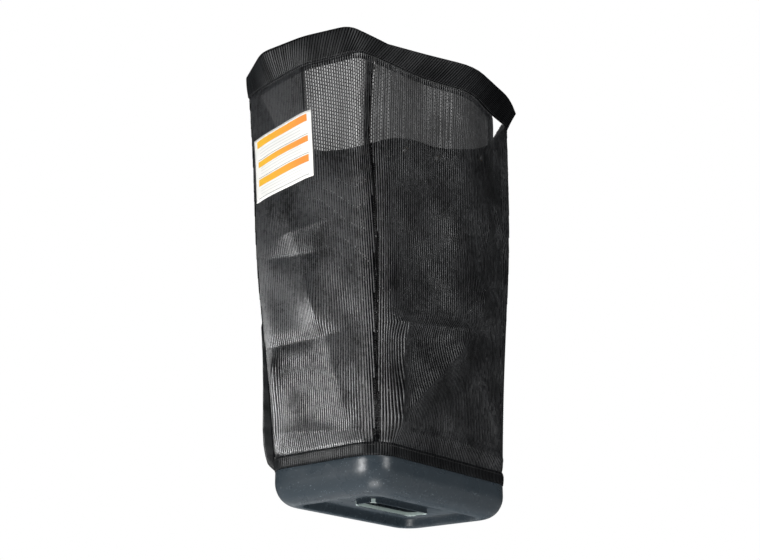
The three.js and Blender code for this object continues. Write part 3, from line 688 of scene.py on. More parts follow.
    def wrinkles(self, side: Side, share: Array, level: Array) -> Array:
        """Small soft waves that a hanging mesh takes.

        Args:
            side: which side of the bag.
            share: 0 to 1 between its corner seams.
            level: 0 at the cap, 1 at the band's seam.

        Returns:
            The lift at each place.
        """
        x, y = share * self.head_width(side), level * self.panel_height
        turn = 1.7 * side.value
        # Each wave has its height in front, and its length in mm under the coordinate
        waves = (0.9 * np.sin(x / 23 + 2.1 * np.sin(y / 97 + turn) + turn)
                 + 0.7 * np.sin(y / 31 + 1.8 * np.sin(x / 71 - turn))
                 + 0.5 * np.sin((x + y) / 17 + turn))
        return waves * self._free(side, share, level, self.wave_margins)

    def cloth(self, side: Side, share: Array, level: Array) -> tuple[Array, Array]:
        """Points and outward directions of the creased cloth.

        Args:
            side: which side of the bag.
            share: 0 to 1 between its corner seams.
            level: 0 at the cap, 1 at the band's seam, 2 at the mouth.

        Returns:
            Points in metres in the row frame, and unit normals.
        """
        share, level = np.broadcast_arrays(np.asarray(share, float), np.asarray(level, float))
        step = 0.001
        across = (self.middle(side, np.minimum(share + step, 1), level)
                  - self.middle(side, np.maximum(share - step, 0), level))
        up = self.middle(side, share, level + step) - self.middle(side, share, np.maximum(level - step, 0))
        normal = unit(np.cross(across, up))
        lift = self.crease_rise(side, share, level) + self.wrinkles(side, share, level)
        point = self.middle(side, share, level) + normal * lift[..., None]
        point[..., :2] += self.cap_centre
        return point * MM, normal

    def head_width(self, side: Side) -> float:
        """The side's width along the cloth at the band's seam."""
        points = self.middle(side, np.linspace(0, 1, 13), np.ones(13))
        return float(np.linalg.norm(np.diff(points, axis=0), axis=1).sum())

    def width_at(self, side: Side, level: Array) -> Array:
        """The side's width along the cloth at each level."""
        share = np.linspace(0, 1, 25)[None, :]
        points = self.middle(side, np.broadcast_to(share, (len(level), 25)), level[:, None])
        return np.linalg.norm(np.diff(points, axis=1), axis=2).sum(1)

    def one_width(self, side: Side, level: float) -> float:
        """The side's width along the cloth at one level."""
        return float(self.width_at(side, np.array([level]))[0])

    def ring(self, share_of_way: Array, level: Array) -> tuple[Array, Array]:
        """Points right round the bag.

        Args:
            share_of_way: 0 to 4, which counts the corner seams.
            level: 0 at the cap, 1 at the band's seam, 2 at the mouth.

        Returns:
            Points in metres, and outward directions that are mitred at the corner seams.
        """
        k = np.floor(share_of_way).astype(int) % 4
        share = share_of_way - np.floor(share_of_way)
        point = np.zeros(share.shape + (3,))
        normal = np.zeros(share.shape + (3,))
        for side in Side:
            on = k == side.value
            if on.any():
                point[on], normal[on] = self.cloth(side, share[on], level[on])
            corner = on & (share < 1e-9)
            if corner.any():
                _, other = self.cloth(side.before, np.ones(corner.sum()), level[corner])
                mitre = unit(normal[corner] + other)
                reach = np.maximum(0.5, (mitre * normal[corner]).sum(-1, keepdims=True))
                normal[corner] = mitre / reach
        return point, normal


def mesh_object(name: str, points: Array, quads: Array, material: bpy.types.Material,
                uv: tuple[str, Array] | None = None) -> bpy.types.Object:
    """Make a smooth object from points and four-sided faces.

    Args:
        name: the piece's name.
        points: n by 3, in metres in the row frame.
        quads: m by 4 indices into points.
        material: the piece's material.
        uv: a map's name and one coordinate pair for each point.

    Returns:
        The linked object, riding on the row's one body.
    """
    used, packed = np.unique(quads, return_inverse=True)
    quads = packed.reshape(quads.shape)
    points = points[used]
    mesh = bpy.data.meshes.new(name)
    mesh.vertices.add(len(points))
    mesh.vertices.foreach_set("co", points.astype(np.float32).ravel())
    mesh.loops.add(quads.size)
    mesh.loops.foreach_set("vertex_index", quads.astype(np.int32).ravel())
    mesh.polygons.add(len(quads))
    mesh.polygons.foreach_set("loop_start", np.arange(0, quads.size, 4, dtype=np.int32))
    mesh.polygons.foreach_set("use_smooth", np.full(len(quads), True))
    if uv is not None:
        layer = mesh.uv_layers.new(name=uv[0])
        layer.data.foreach_set("uv", uv[1][used][quads.ravel()].astype(np.float32).ravel())
    mesh.update(calc_edges=True)
    mesh.validate()
    mesh.materials.append(material)
    piece = bpy.data.objects.new(name, mesh)
    bpy.context.scene.collection.objects.link(piece)
    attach(piece, "root")
    LOG.info("%s: %d faces", name, len(quads))
    return piece


def grid_quads(columns: int, rows: int, wraps: bool = False) -> Array:
    """Faces of a grid of points numbered column by column.

    Args:
        columns: number of point columns.
        rows: number of points in a column.
        wraps: whether the last column joins the first.

    Returns:
        Indices, shaped (column spaces, row spaces, 4).
    """
    i = np.arange(columns if wraps else columns - 1)[:, None]
    j = np.arange(rows - 1)[None, :]
    right = (i + 1) % columns
    return np.stack([i * rows + j, right * rows + j, right * rows + j + 1, i * rows + j + 1], -1)


def tyre_quads(columns: int, rows: int) -> Array:
    """Faces of a closed ring whose every column is a closed section.

    Args:
        columns: number of sections round the ring.
        rows: number of points in a section.

    Returns:
        Indices, n by 4.
    """
    here = np.arange(columns) * rows
    ahead = np.roll(here, -1)
    closing = np.stack([here + rows - 1, ahead + rows - 1, ahead, here], -1)
    return np.concatenate([grid_quads(columns, rows, wraps=True).reshape(-1, 4), closing])


def shell_quads(columns: int, rows: int) -> Array:
    """Faces of a thin closed sheet: an outer grid, an inner one after it, and their rim.

    Args:
        columns: number of point columns in each grid.
        rows: number of points in a column.

    Returns:
        Indices, n by 4.
    """
    faces = grid_quads(columns, rows).reshape(-1, 4)
    shift = columns * rows
    rim = np.concatenate([
        np.arange(columns) * rows,
        (columns - 1) * rows + np.arange(1, rows),
        np.arange(columns - 1)[::-1] * rows + rows - 1,
        np.arange(1, rows - 1)[::-1]])
    ahead = np.roll(rim, -1)
    sides = np.stack([rim + shift, ahead + shift, ahead, rim], -1)
    return np.concatenate([faces, faces[:, ::-1] + shift, sides])


@dataclass(frozen=True)
class Notch:
    """A corner cut out of a panel's head, sloping down towards the side seam."""

    width: float
    height: float
    from_seam: float


@dataclass
class MeshPanel:
    """One side of ribbed open mesh, its gaps cut right through.

    The cloth is cut as a taper, so its ribs stay parallel and run out into the seams. Sizes
    are in mm.
    """

    shape: BagShape
    side: Side
    node: str
    gap_width: float
    notch: Notch | None = None
    pitch: float = 4.1
    shoulder: float = 0.45
    rib_rise: float = 1.25
    row_height: float = 2.0
    rows_per_bar: int = 3
    head: float = 8.0
    head_flat: float = 7.0
    foot_share: float = 0.7
    foot_flat: float = 12.0
    # Painted shade along each seam: this near it the cloth is shifted into a rib valley's dark colour, by
    # this share of a rib
    seam_shade_width: float = 3.5
    valley: float = 0.4
    tuck: float = 0.009
    stray: float = 0.03
    piece: bpy.types.Object | None = None

    def build(self, finish: bpy.types.Material) -> "MeshPanel":
        """Make the panel's surface and put it in place of its CAD solid.

        Args:
            finish: the mesh's material.

        Returns:
            The panel itself.
        """
        height = self.shape.panel_height
        foot = self.shape.binding_height * self.foot_share
        y = np.append(np.arange(foot, height - self.row_height / 2, self.row_height), height)
        level = y / height
        # The head is sewn close up under the band
        level[-1] = 1 + self.tuck
        width = self.shape.width_at(self.side, level)
        reach = int(width.max() / 2 / self.pitch) + 1
        middle = np.arange(-reach, reach + 1) * self.pitch
        rng = np.random.default_rng(SEED + self.side.value)
        uneven = middle + rng.uniform(-self.stray, self.stray, len(middle)) * self.pitch
        half = (self.pitch - self.gap_width) / 2
        ways = np.array([-half, self.shoulder - half, half - self.shoulder, half])
        x = (uneven[:, None] + ways[None, :]).ravel()
        share = np.clip(x[:, None] / width[None, :] + 0.5, 0, 1)
        point, normal = self.shape.cloth(self.side, share, np.broadcast_to(level, share.shape))
        lift = np.tile([0.0, self.rib_rise, self.rib_rise, 0.0], len(middle))
        inside = (share > 0) & (share < 1)
        sewn = (ease((y - self.shape.binding_height) / self.foot_flat)
                * ease((height - y) / self.head_flat))
        point = point + normal * (lift[:, None] * inside * sewn[None, :] * MM)[..., None]
        quads = grid_quads(len(x), len(y))[self._kept(share, level, width, y)]
        ribs = (middle[:, None] + ways[None, :]).ravel() / self.pitch
        # Painted shade along each seam: the cloth next to it takes the dark colour of a rib valley
        seam_way = np.minimum(share, 1 - share) * width[None, :]
        counted = np.where(seam_way < self.seam_shade_width, np.round(ribs)[:, None] - self.valley, ribs[:, None])
        rows = (y / self.row_height / self.rows_per_bar)[None, :]
        uv = np.stack(np.broadcast_arrays(counted, rows), -1).reshape(-1, 2)
        self.piece = mesh_object(f"{self.node}_open", point.reshape(-1, 3), quads, finish, ("cloth", uv))
        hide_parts(self.node)
        return self

    def _kept(self, share: Array, level: Array, width: Array, y: Array) -> Array:
        """Tell the faces of cloth from the gaps.

        Args:
            share: each point's share of the side, column by column.
            level: each row's level.
            width: the side's width at each row.
            y: each row's height over the cap's edge.

        Returns:
            True for each face that is cloth.
        """
        column, row = np.arange(len(share) - 1)[:, None], np.arange(len(y) - 1)[None, :]
        in_gap = column % PER_RIB == PER_RIB - 1
        # Every third row is a bar, one row higher in each next gap, as knitted rows climb
        bar = (row + column // PER_RIB) % self.rows_per_bar == 0
        spread = share[1:] - share[:-1]
        kept = ~in_gap | bar | (y[None, :-1] > self.shape.panel_height - self.head)
        kept &= (spread[:, 1:] > 1e-5) | (spread[:, :-1] > 1e-5)
        if self.notch is not None:
            centre = (share[:-1, :-1] + share[1:, 1:]) / 2
            seam_way = (1 - centre) * ((width[:-1] + width[1:]) / 2)[None, :]
            down = (1 - (level[:-1] + level[1:]) / 2)[None, :] * self.shape.panel_height
            across = (seam_way - self.notch.from_seam) / self.notch.width
            kept &= ~((across > 0) & (across < 1) & (down < self.notch.height * across))
        return kept

    def dress(self) -> "MeshPanel":
        narrow, wide = self.shape.width_at(self.side, np.array([0.0, 1.0]))
        return self


@dataclass
class RingStrip:
    """A doubled strip right round the bag, ribbed, with soft edges.

    It reaches from the level low to the level high. Sizes are in mm.
    """

    shape: BagShape
    node: str
    low: float
    high: float
    pitch: float
    rib_rise: float
    pillow: float
    tall: float
    rests_on: str
    rows: int
    holes: tuple[tuple[Array, float], ...] = ()
    piece: bpy.types.Object | None = None

    def build(self, finish: bpy.types.Material) -> "RingStrip":
        """Make the strip's closed surface and put it in place of its CAD solid.

        Args:
            finish: the cloth's material.

        Returns:
            The strip itself.
        """
        shares = []
        for side in Side:
            count = max(8, int(self._width(side) / self.pitch)) * PER_RIB
            shares.append(side.value + np.arange(count) / count)
        way = np.concatenate(shares)
        rib = self.rib_rise * 0.5 * (1 + np.cos(np.arange(len(way)) * (2 * math.pi / PER_RIB)))
        section, out, ribbed = self._section().T
        level = np.broadcast_to(section, (len(way), len(section)))
        spread = np.broadcast_to(way[:, None], level.shape)
        point, normal = self.shape.ring(spread.ravel(), level.ravel())
        lift = out[None, :] + np.sign(out)[None, :] * rib[:, None] * ribbed[None, :]
        point = point + normal * (lift.ravel() * MM)[:, None]
        quads = tyre_quads(len(way), len(section))
        for centre, radius in self.holes:
            quads = quads[np.linalg.norm(point[quads].mean(1) - centre, axis=1) > radius]
        ribs = np.broadcast_to((np.arange(len(way)) / PER_RIB)[:, None], level.shape)
        uv = np.stack([ribs.ravel(), (level.ravel() - self.low) / (self.high - self.low)], -1)
        self.piece = mesh_object(f"{self.node}_cloth", point, quads, finish, ("cloth", uv))
        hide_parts(self.node)
        return self

    def _width(self, side: Side) -> float:
        """The side's width at the strip's middle."""
        return self.shape.one_width(side, (self.low + self.high) / 2)

    def _section(self) -> Array:
        """The strip's closed section, up the outside and down the inside.

        Returns:
            For each point its level, its way out in mm, and how much the ribs show.
        """
        up = np.linspace(0, 1, self.rows)
        half, tall = self.shape.binding_thickness / 2, self.high - self.low
        outer = [(self.low + tall * u, half + self.pillow * math.sin(math.pi * u), 1.0) for u in up[:-1]]
        fold = self.high - tall * 0.008
        top = [(fold, half * 0.9, 0.6), (self.high, half * 0.35, 0.2),
               (self.high, -half * 0.35, 0.2), (fold, -half * 0.9, 0.6)]
        inner = [(self.low + tall * u, -half, 1.0) for u in up[::-1][1:]]
        return np.array(outer + top + inner)

    def dress(self, with_pieces: Sequence[bpy.types.Object] = ()) -> "RingStrip":
        """Args:
            with_pieces: what is pressed into the strip; not used.

        Returns:
            The strip itself.
        """
        round_it = sum(self._width(side) for side in Side)
        LOG.info("%s: %.0f mm tall, %.0f mm round", self.node, self.tall, round_it)
        return self


@dataclass
class ClothStrip:
    """A narrow strip lying on one side of the cloth, from place to place.

    Its edge gives the share and level for a place across and up the strip, both 0 to 1.
    The offset is the way out from the cloth's middle, in mm, and less than 0 inside.
    """

    shape: BagShape
    side: Side
    node: str
    edge: Callable[[Array, Array], Place]
    count: tuple[int, int]
    offset: float
    thickness: float
    name_end: str = "cloth"
    slot_name: str = "double_cloth"
    piece: bpy.types.Object | None = None

    def build(self, finish: bpy.types.Material) -> "ClothStrip":
        """Make the strip as a closed thin shell and put it in place of its CAD solid.

        Args:
            finish: the strip's material.

        Returns:
            The strip itself.
        """
        across, up = self.count
        u = np.linspace(0, 1, across + 1)[:, None]
        v = np.linspace(0, 1, up + 1)[None, :]
        point, normal = self.shape.cloth(self.side, *self.edge(*np.broadcast_arrays(u, v)))
        sign = 1 if self.offset > 0 else -1
        near = point + normal * self.offset * MM
        far = point + normal * (self.offset + sign * self.thickness) * MM
        outer, inner = (far, near) if sign > 0 else (near, far)
        flat = np.concatenate([outer.reshape(-1, 3), inner.reshape(-1, 3)])
        uv = np.stack(np.broadcast_arrays(u, v), -1).reshape(-1, 2)
        self.piece = mesh_object(f"{self.node}_{self.name_end}", flat, shell_quads(across + 1, up + 1),
                                 finish, ("patch", np.concatenate([uv, uv])))
        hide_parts(self.node)
        return self

    def dress(self, width: float, length: float) -> "ClothStrip":
        """Args:
            width: the strip's width.
            length: the strip's length.

        Returns:
            The strip itself.
        """
        LOG.info("%s: cut %.0f by %.0f mm", self.node, width, length)
        return self


class Outline(Enum):
    """What a ring of the cap's moulding runs round."""

    CAP = 0
    SLOT = 1


@dataclass
class EndCap:
    """The moulded cap: rounded bottom edges, dished underside, collared hand slot.

    Sizes are in mm.
    """

    shape: BagShape
    bottom_radius: float = 36.0
    bottom_inset: float = 27.0
    wall: float = 3.2
    foot_width: float = 6.0
    recess_slope: float = 9.0
    recess_depth: float = 14.0
    upstand_height: float = 30.0
    upstand_wall: float = 2.6
    slot_length: float = 138.0
    slot_width: float = 38.0
    slot_radius: float = 13.0
    collar_wall: float = 2.8
    collar_foot: float = 5.0
    collar_height: float = 20.0
    lip: float = 1.2
    radius_loss: float = 0.45
    per_corner: int = 9
    per_side: int = 14
    piece: bpy.types.Object | None = None

    def build(self, finish: bpy.types.Material) -> "EndCap":
        """Make the moulding as one skin, ring by ring, through the slot and back.

        Args:
            finish: the plastic's material.

        Returns:
            The cap itself.
        """
        rings = [self._ring(*ring) for ring in self._profile()]
        points = np.concatenate(rings)
        points[:, :2] += self.shape.cap_centre
        around = len(rings[0])
        here = np.arange(len(rings))[:, None] * around
        there = np.roll(here, -1, axis=0)
        n = np.arange(around)[None, :]
        ahead = (n + 1) % around
        quads = np.stack([here + n, here + ahead, there + ahead, there + n], -1).reshape(-1, 4)
        self.piece = mesh_object("end_cap_moulding", points * MM, quads, finish)
        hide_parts("end_cap")
        LOG.info("end cap: %d rings of %d points", len(rings), around)
        return self

    def _profile(self) -> list[tuple[float, float, Outline]]:
        """The moulding's section, from the slot over the outside and back inside.

        Returns:
            For each ring its inset, its height and what it runs round.
        """
        lip, foot, wall = self.lip, self.bottom_inset, self.collar_wall
        slot = [(0.0, self.collar_foot + lip), (lip * 0.3, self.collar_foot + lip * 0.3),
                (wall / 2, self.collar_foot), (wall - lip * 0.3, self.collar_foot + lip * 0.3),
                (wall, self.collar_foot + lip), (wall, self.recess_depth - lip),
                (wall + lip, self.recess_depth)]
        edge = foot + self.foot_width
        cap = []
        for q in np.linspace(0, 1, 9):
            cap.append((edge + self.recess_slope * (1 - q),
                        self.recess_depth * float(1 - ease(np.array(q)))))
        for angle in np.linspace(0, 1, 19) * math.pi / 2:
            cap.append((foot * (1 - math.sin(angle)), self.bottom_radius * (1 - math.cos(angle))))
        # Each edge above is rounded by half a millimetre or so
        top = self.shape.wall_height
        head = top + self.upstand_height
        up = self.shape.binding_thickness + self.shape.seat_gap + 1.0
        back = up + self.upstand_wall
        cap += [(0.0, self.bottom_radius + 4), (0.0, self.bottom_radius + 10),
                (0.0, top - 0.8), (0.25, top - 0.2), (0.9, top), (up - 0.4, top), (up, top + 0.4),
                (up, head - 0.6), (up + 0.5, head), (back - 0.5, head), (back, head - 0.6),
                (back, self.bottom_radius + 4)]
        inner = self.bottom_radius - self.wall
        for angle in np.linspace(0.1, 0.85, 8) * math.pi / 2:
            cap.append((back + (foot - up) * (1 - math.cos(angle)),
                        self.wall + 1 + inner * (1 - math.sin(angle))))
        floor = self.wall + self.recess_depth
        cap += [(edge - 4, self.wall + 0.6), (edge + 1, self.wall + 2),
                (edge + self.recess_slope - 3, floor - 1), (edge + self.recess_slope + 2, floor)]
        collar = self.collar_foot + self.collar_height
        inside = [(wall, floor), (wall, collar), (0.0, collar)]
        return ([(inset, z, Outline.SLOT) for inset, z in slot]
                + [(inset, z, Outline.CAP) for inset, z in cap]
                + [(inset, z, Outline.SLOT) for inset, z in inside])

    def _ring(self, inset: float, z: float, outline: Outline) -> Array:
        """The points of one ring.

        Args:
            inset: how far it lies inside the cap's outline, or outside the slot's.
            z: its height.
            outline: what it runs round.

        Returns:
            Points round the cap's centre.
        """
        if outline is Outline.SLOT:
            hx, hy = self.slot_length / 2 + inset, self.slot_width / 2 + inset
            radius = self.slot_radius + inset
        else:
            hx, hy = self.shape.cap_length / 2 - inset, self.shape.cap_width / 2 - inset
            radius = self.shape.corner_radius - self.radius_loss * inset
        corners = [(-hx + radius, -hy + radius, 180), (hx - radius, -hy + radius, 270),
                   (hx - radius, hy - radius, 0), (-hx + radius, hy - radius, 90)]
        arcs = []
        for cx, cy, start in corners:
            angle = np.radians(start + 90 * np.linspace(0, 1, self.per_corner))
            arcs.append(np.stack([cx + radius * np.cos(angle), cy + radius * np.sin(angle),
                                  np.full(self.per_corner, z)], -1))
        points = []
        for n, arc in enumerate(arcs):
            last, first = arc[-1], arcs[(n + 1) % 4][0]
            between = np.linspace(0, 1, self.per_side)[1:-1, None]
            points += [arc, last + (first - last) * between]
        return np.concatenate(points)


@dataclass
class Eyelet:
    """A two-part brass eyelet clinched through the band. Sizes are in mm, round its centre."""

    number: int
    centre: Array
    axis: Array
    bore: float = 3.5
    barrel: float = 4.3
    flange: float = 6.4
    half: float = 1.75
    segments: int = 40
    pieces: list[bpy.types.Object] = field(default_factory=list)

    def build(self, finish: bpy.types.Material) -> "Eyelet":
        """Make the rolled flange with its barrel, and the washer behind.

        Args:
            finish: the brass.

        Returns:
            The eyelet itself.
        """
        h = self.half
        # Sections as radius and way along the axis; the band lies between -h and h
        rolled = [(self.bore, -h - 0.9), (self.bore + 0.3, -h - 1.2), (self.barrel + 0.7, -h - 1.15),
                  (self.barrel + 0.9, -h - 0.85), (self.barrel, -h - 0.75), (self.barrel, h),
                  (self.flange - 0.3, h), (self.flange, h + 0.25), (self.flange - 0.5, h + 0.75),
                  (self.flange - 1.4, h + 0.95), (self.bore + 0.5, h + 0.8), (self.bore, h + 0.3)]
        washer = [(self.barrel + 0.35, -h - 0.7), (self.flange - 0.2, -h - 0.6), (self.flange, -h - 0.3),
                  (self.flange - 0.1, -h), (self.barrel + 0.35, -h)]
        for section, node, name in ((rolled, f"eyelet_{self.number}", f"eyelet_{self.number}_rolled"),
                                    (washer, f"eyelet_washer_{self.number}", f"eyelet_{self.number}_back")):
            piece = self._turned(section, name, finish)
            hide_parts(node)
            self.pieces.append(piece)
        return self

    def _turned(self, section: Sequence[tuple[float, float]], name: str,
                finish: bpy.types.Material) -> bpy.types.Object:
        """Turn a closed section round the eyelet's axis.

        Args:
            section: radius and way along the axis for each point.
            name: the piece's name.
            finish: the brass.

        Returns:
            The piece.
        """
        axis = Vector(self.axis).normalized()
        first = axis.orthogonal().normalized()
        second = axis.cross(first)
        angle = np.arange(self.segments) * 2 * math.pi / self.segments
        radial = np.cos(angle)[:, None] * np.array(first) + np.sin(angle)[:, None] * np.array(second)
        rows = [self.centre + (radial[:, None, :] * r + np.array(axis) * z) * MM for r, z in section]
        points = np.concatenate(rows, axis=1).reshape(-1, 3)
        return mesh_object(name, points, tyre_quads(self.segments, len(section)), finish)


@dataclass
class Stitching:
    """Lock stitches as short raised threads along lines on the cloth. Sizes are in mm."""

    spacing: float = 3.6
    length: float = 2.6
    radius: float = 0.34
    stray: float = 0.15
    arch: float = 1.1
    sunk: float = 0.35
    thickness: tuple[float, ...] = (0.35, 0.9, 1.0, 0.9, 0.35)
    sides: int = 6

    def build(self, lines: Sequence[Place], finish: bpy.types.Material) -> bpy.types.Object:
        """Lay stitches along lines.

        Args:
            lines: each line's points and outward directions, in metres.
            finish: the thread's material.

        Returns:
            The piece that holds all the stitches.
        """
        rng = np.random.default_rng(SEED)
        threads = np.concatenate([self._threads(line, normal, rng) for line, normal in lines])
        bends, sides = threads.shape[1:3]
        start = np.arange(len(threads))[:, None, None] * bends * sides
        bend = np.arange(bends - 1)[None, :, None] * sides
        here = np.arange(sides)[None, None, :]
        ahead = (here + 1) % sides
        base = start + bend
        quads = np.stack([base + here, base + sides + here, base + sides + ahead, base + ahead], -1)
        piece = mesh_object("seam_stitches", threads.reshape(-1, 3), quads.reshape(-1, 4), finish)
        LOG.info("seam stitches: %d of them in %d rows", len(threads), len(lines))
        return piece

    def _threads(self, line: Array, normal: Array, rng: np.random.Generator) -> Array:
        """Lay the stitches of one line.

        Args:
            line: the line's points.
            normal: the outward direction at each point.
            rng: where the small strays in spacing come from.

        Returns:
            Points by stitch, bend and side of the thread.
        """
        run = run_of(line)
        gap = self.spacing * MM
        starts = np.arange(gap, run[-1] - gap, gap)
        starts = starts + rng.uniform(-self.stray, self.stray, len(starts)) * MM
        q = np.linspace(0, 1, len(self.thickness))
        way = starts[:, None] + q[None, :] * self.length * MM
        out = unit(along(way, run, normal))
        rise = (np.sin(math.pi * q) * self.arch - self.sunk)[None, :, None] * self.radius * MM
        middle = along(way, run, line) + out * rise
        across = np.cross(unit(np.gradient(middle, axis=1)), out)
        angle = (np.arange(self.sides) * 2 * math.pi / self.sides)[None, None, :, None]
        ring = across[:, :, None, :] * np.cos(angle) + out[:, :, None, :] * np.sin(angle)
        thick = self.radius * MM * np.array(self.thickness)
        return middle[:, :, None, :] + ring * thick[None, :, None, None]


@dataclass
class Bag:
    """The whole bag, from its named sub-assemblies.

    Sizes are in mm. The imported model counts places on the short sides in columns, and the
    patch's and tape's levels are shares of the panel's height.
    """

    shape: BagShape
    band_clearance: float = 0.45
    short_columns: int = 26
    label_columns: tuple[int, int] = (1, 15)
    label_levels: Span = (0.69, 0.865)
    label_tilt: float = 0.01
    label_size: tuple[float, float] = (140.0, 110.0)
    tape_share: float = 0.53
    tape_levels: Span = (0.878, 0.995)
    tape_width: float = 3 / 262
    band_rows: int = 3
    band_grid: float = 0.985
    band_top: float = 1.992
    eyelet_columns: tuple[int, ...] = (10, 17, 22)
    eyelet_hole: float = 4.6
    allowance_width: float = 12.0
    allowance_foot: float = 32.0
    allowance_head: float = 1.2
    turn_in: float = 9.0
    turn_in_start: float = 3.2
    turn_in_notched: float = 60.0
    turn_in_seam: float = 0.6
    turn_in_hidden: float = 1.5
    inside: float = -1.25
    ply: float = 0.8
    band_stitches: float = 0.06
    binding_stitches: float = 14.5
    seam_stitches: float = 3.0
    stitch_lifts: tuple[float, float, float] = (2.2, 2.5, 1.0)
    gaps: tuple[float, ...] = (0.45, 0.2, 0.2, 0.72)
    notch: Notch = Notch(38.0, 42.0, 18.0)
    fin_widths: tuple[tuple[float, float], ...] = (
        (0.008, 9.0), (0.022, 12.0), (0.036, 14.0), (0.065, 16.0),
        (0.10, 15.5), (0.22, 9.0), (0.30, 5.0), (0.36, 3.0))
    fin_curl: float = 3.2
    fin_curl_levels: float = 0.05
    fin_fade_levels: float = 0.02
    finishes: dict[str, bpy.types.Material] = field(default_factory=dict)

    @property
    def band_gap(self) -> float:
        """The clearance under the band, as a share of the band's height."""
        return self.band_clearance / self.shape.band_height

    def build(self) -> "Bag":
        """Make every piece."""
        cap = EndCap(self.shape)
        self.finishes = {
            "mesh": ClothFinish("black_knit_mesh_filament", pores=0.035).build(),
            "double": ClothFinish("black_knit_mesh_folded", yarn="#111213", crest_highlight_and_light_tone="#1B1D1F",
                                  roughness=0.45, gloss=0.4).build(),
            "cap": PlasticFinish("slate_polyolefin_spark_grain", self.shape.cap_centre,
                                 (cap.slot_length / 2, cap.slot_width / 2)).build(),
            "brass": BrassFinish("pressed_brass_tarnished").build(),
            "patch": PatchFinish("coated_film_printed_fields").build(),
            "thread": ClothFinish("black_polyester_thread", yarn="#141516", crest_highlight_and_light_tone="#26282A",
                                  roughness=0.5, ribbed=False).build(),
        }
        cap.build(self.finishes["cap"])
        eyelets = self._eyelets()
        self._ring_strips(eyelets)
        self._panels()
        self._allowances()
        self._fin()
        self._turn_ins()
        self._patch_and_tape()
        self._stitching()
        return self

    def _eyelets(self) -> list[Eyelet]:
        """Make the eyelets, each in the middle of one cell of the band's grid.

        Returns:
            The eyelets.
        """
        low, high = (1 + self.band_gap + self.band_grid * n / self.band_rows for n in (1, 2))
        made = []
        for number, column in enumerate(self.eyelet_columns, 1):
            left, right = column / self.short_columns, (column + 1) / self.short_columns
            corner, _ = self.shape.cloth(Side.EYELET, np.array([left, right, right, left]),
                                         np.array([low, low, high, high]))
            axis = np.cross(corner[2] - corner[0], corner[3] - corner[1])
            made.append(Eyelet(number, corner.mean(0), axis).build(self.finishes["brass"]))
        return made

    def _ring_strips(self, eyelets: Sequence[Eyelet]) -> None:
        """Make the mouth band, pierced for the eyelets, and the binding at the cap.

        Args:
            eyelets: what is pressed into the band.
        """
        holes = tuple((e.centre, self.eyelet_hole * MM) for e in eyelets)
        band = RingStrip(self.shape, "mouth_band", 1 + self.band_gap, self.band_top, pitch=4.5,
                         rib_rise=0.9, pillow=0.8, tall=self.shape.band_height,
                         rests_on="front_mesh_panel_open", rows=13, holes=holes)
        band.build(self.finishes["double"]).dress([p for e in eyelets for p in e.pieces])
        tall = self.shape.binding_height
        binding = RingStrip(self.shape, "lower_binding", 0.0, tall / self.shape.panel_height, pitch=3.9,
                            rib_rise=0.7, pillow=1.0, tall=tall, rests_on="end_cap_moulding", rows=7)
        binding.build(self.finishes["double"]).dress()

    def _panels(self) -> None:
        """Make the four sides.

        The far ones have narrower gaps, so that two layers seen one through the other make
        no false pattern.
        """
        for side, gap in zip(Side, self.gaps):
            notch = self.notch if side is Side.FRONT else None
            MeshPanel(self.shape, side, f"{SIDE_NAMES[side]}_mesh_panel", gap,
                      notch).build(self.finishes["mesh"]).dress()

    def _allowances(self) -> None:
        """Make the strip turned inside along each corner seam, below the turn-ins."""
        height = self.shape.panel_height
        low, high = self.allowance_foot / height, 1 - (self.turn_in + self.allowance_head) / height
        for side, from_end, corner in ((Side.LABEL, True, "near"), (Side.EYELET, False, "right"),
                                       (Side.EYELET, True, "far"), (Side.LABEL, False, "left")):
            place = partial(self._allowance_place, side, from_end, low, high)
            ClothStrip(self.shape, side, f"{corner}_seam_allowance", place, (4, 60), self.inside,
                       self.ply).build(self.finishes["double"]).dress(
                           self.allowance_width, (high - low) * height)

    def _allowance_place(self, side: Side, from_end: bool, low: float, high: float,
                         u: Array, v: Array) -> Place:
        """Where a place on a seam allowance lies.

        Args:
            side: the side that it lies on.
            from_end: whether it lies along that side's last seam.
            low: the level of its foot.
            high: the level of its head.
            u: the way across it, 0 to 1.
            v: the way up it, 0 to 1.

        Returns:
            The share of the side and the level.
        """
        level = low + (high - low) * v
        width = self.shape.width_at(side, np.ravel(level)).reshape(level.shape)
        share = 1.0 / width + u * self.allowance_width / width
        return (1 - share if from_end else share), level

    def _turn_ins(self) -> None:
        """Make the cloth turned in under the band, which on the front stops at the notch."""
        for side in Side:
            start, width = self.turn_in_start, self.shape.one_width(side, 1.0)
            end = self.turn_in_notched if side is Side.FRONT else start
            place = partial(self._turn_in_place, start / width, 1 - end / width)
            ClothStrip(self.shape, side, f"{SIDE_NAMES[side]}_turn_in", place, (80, 3), self.inside,
                       self.ply).build(self.finishes["double"]).dress(
                           self.turn_in + self.turn_in_hidden, width - end - start)

    def _turn_in_place(self, first: float, last: float, u: Array, v: Array) -> Place:
        """Where a place on a turn-in lies.

        Args:
            first: the share of the side where it starts.
            last: the share where it ends.
            u: the way along it, 0 to 1.
            v: the way up it, 0 to 1.

        Returns:
            The share of the side and the level.
        """
        down = self.turn_in + (self.turn_in_seam - self.turn_in) * v
        level = 1 - down / self.shape.panel_height
        return first + (last - first) * u, level

    def _patch_and_tape(self) -> None:
        """Make the printed patch on the label side, and the narrow tape above it."""
        ClothStrip(self.shape, Side.LABEL, "label_patch", self._patch_place, (40, 30), 1.6, 0.5, "film",
                   "label_patch").build(self.finishes["patch"]).dress(*self.label_size)
        ClothStrip(self.shape, Side.LABEL, "label_side_seam_tape", self._tape_place, (3, 30), 1.3,
                   0.7).build(self.finishes["double"])

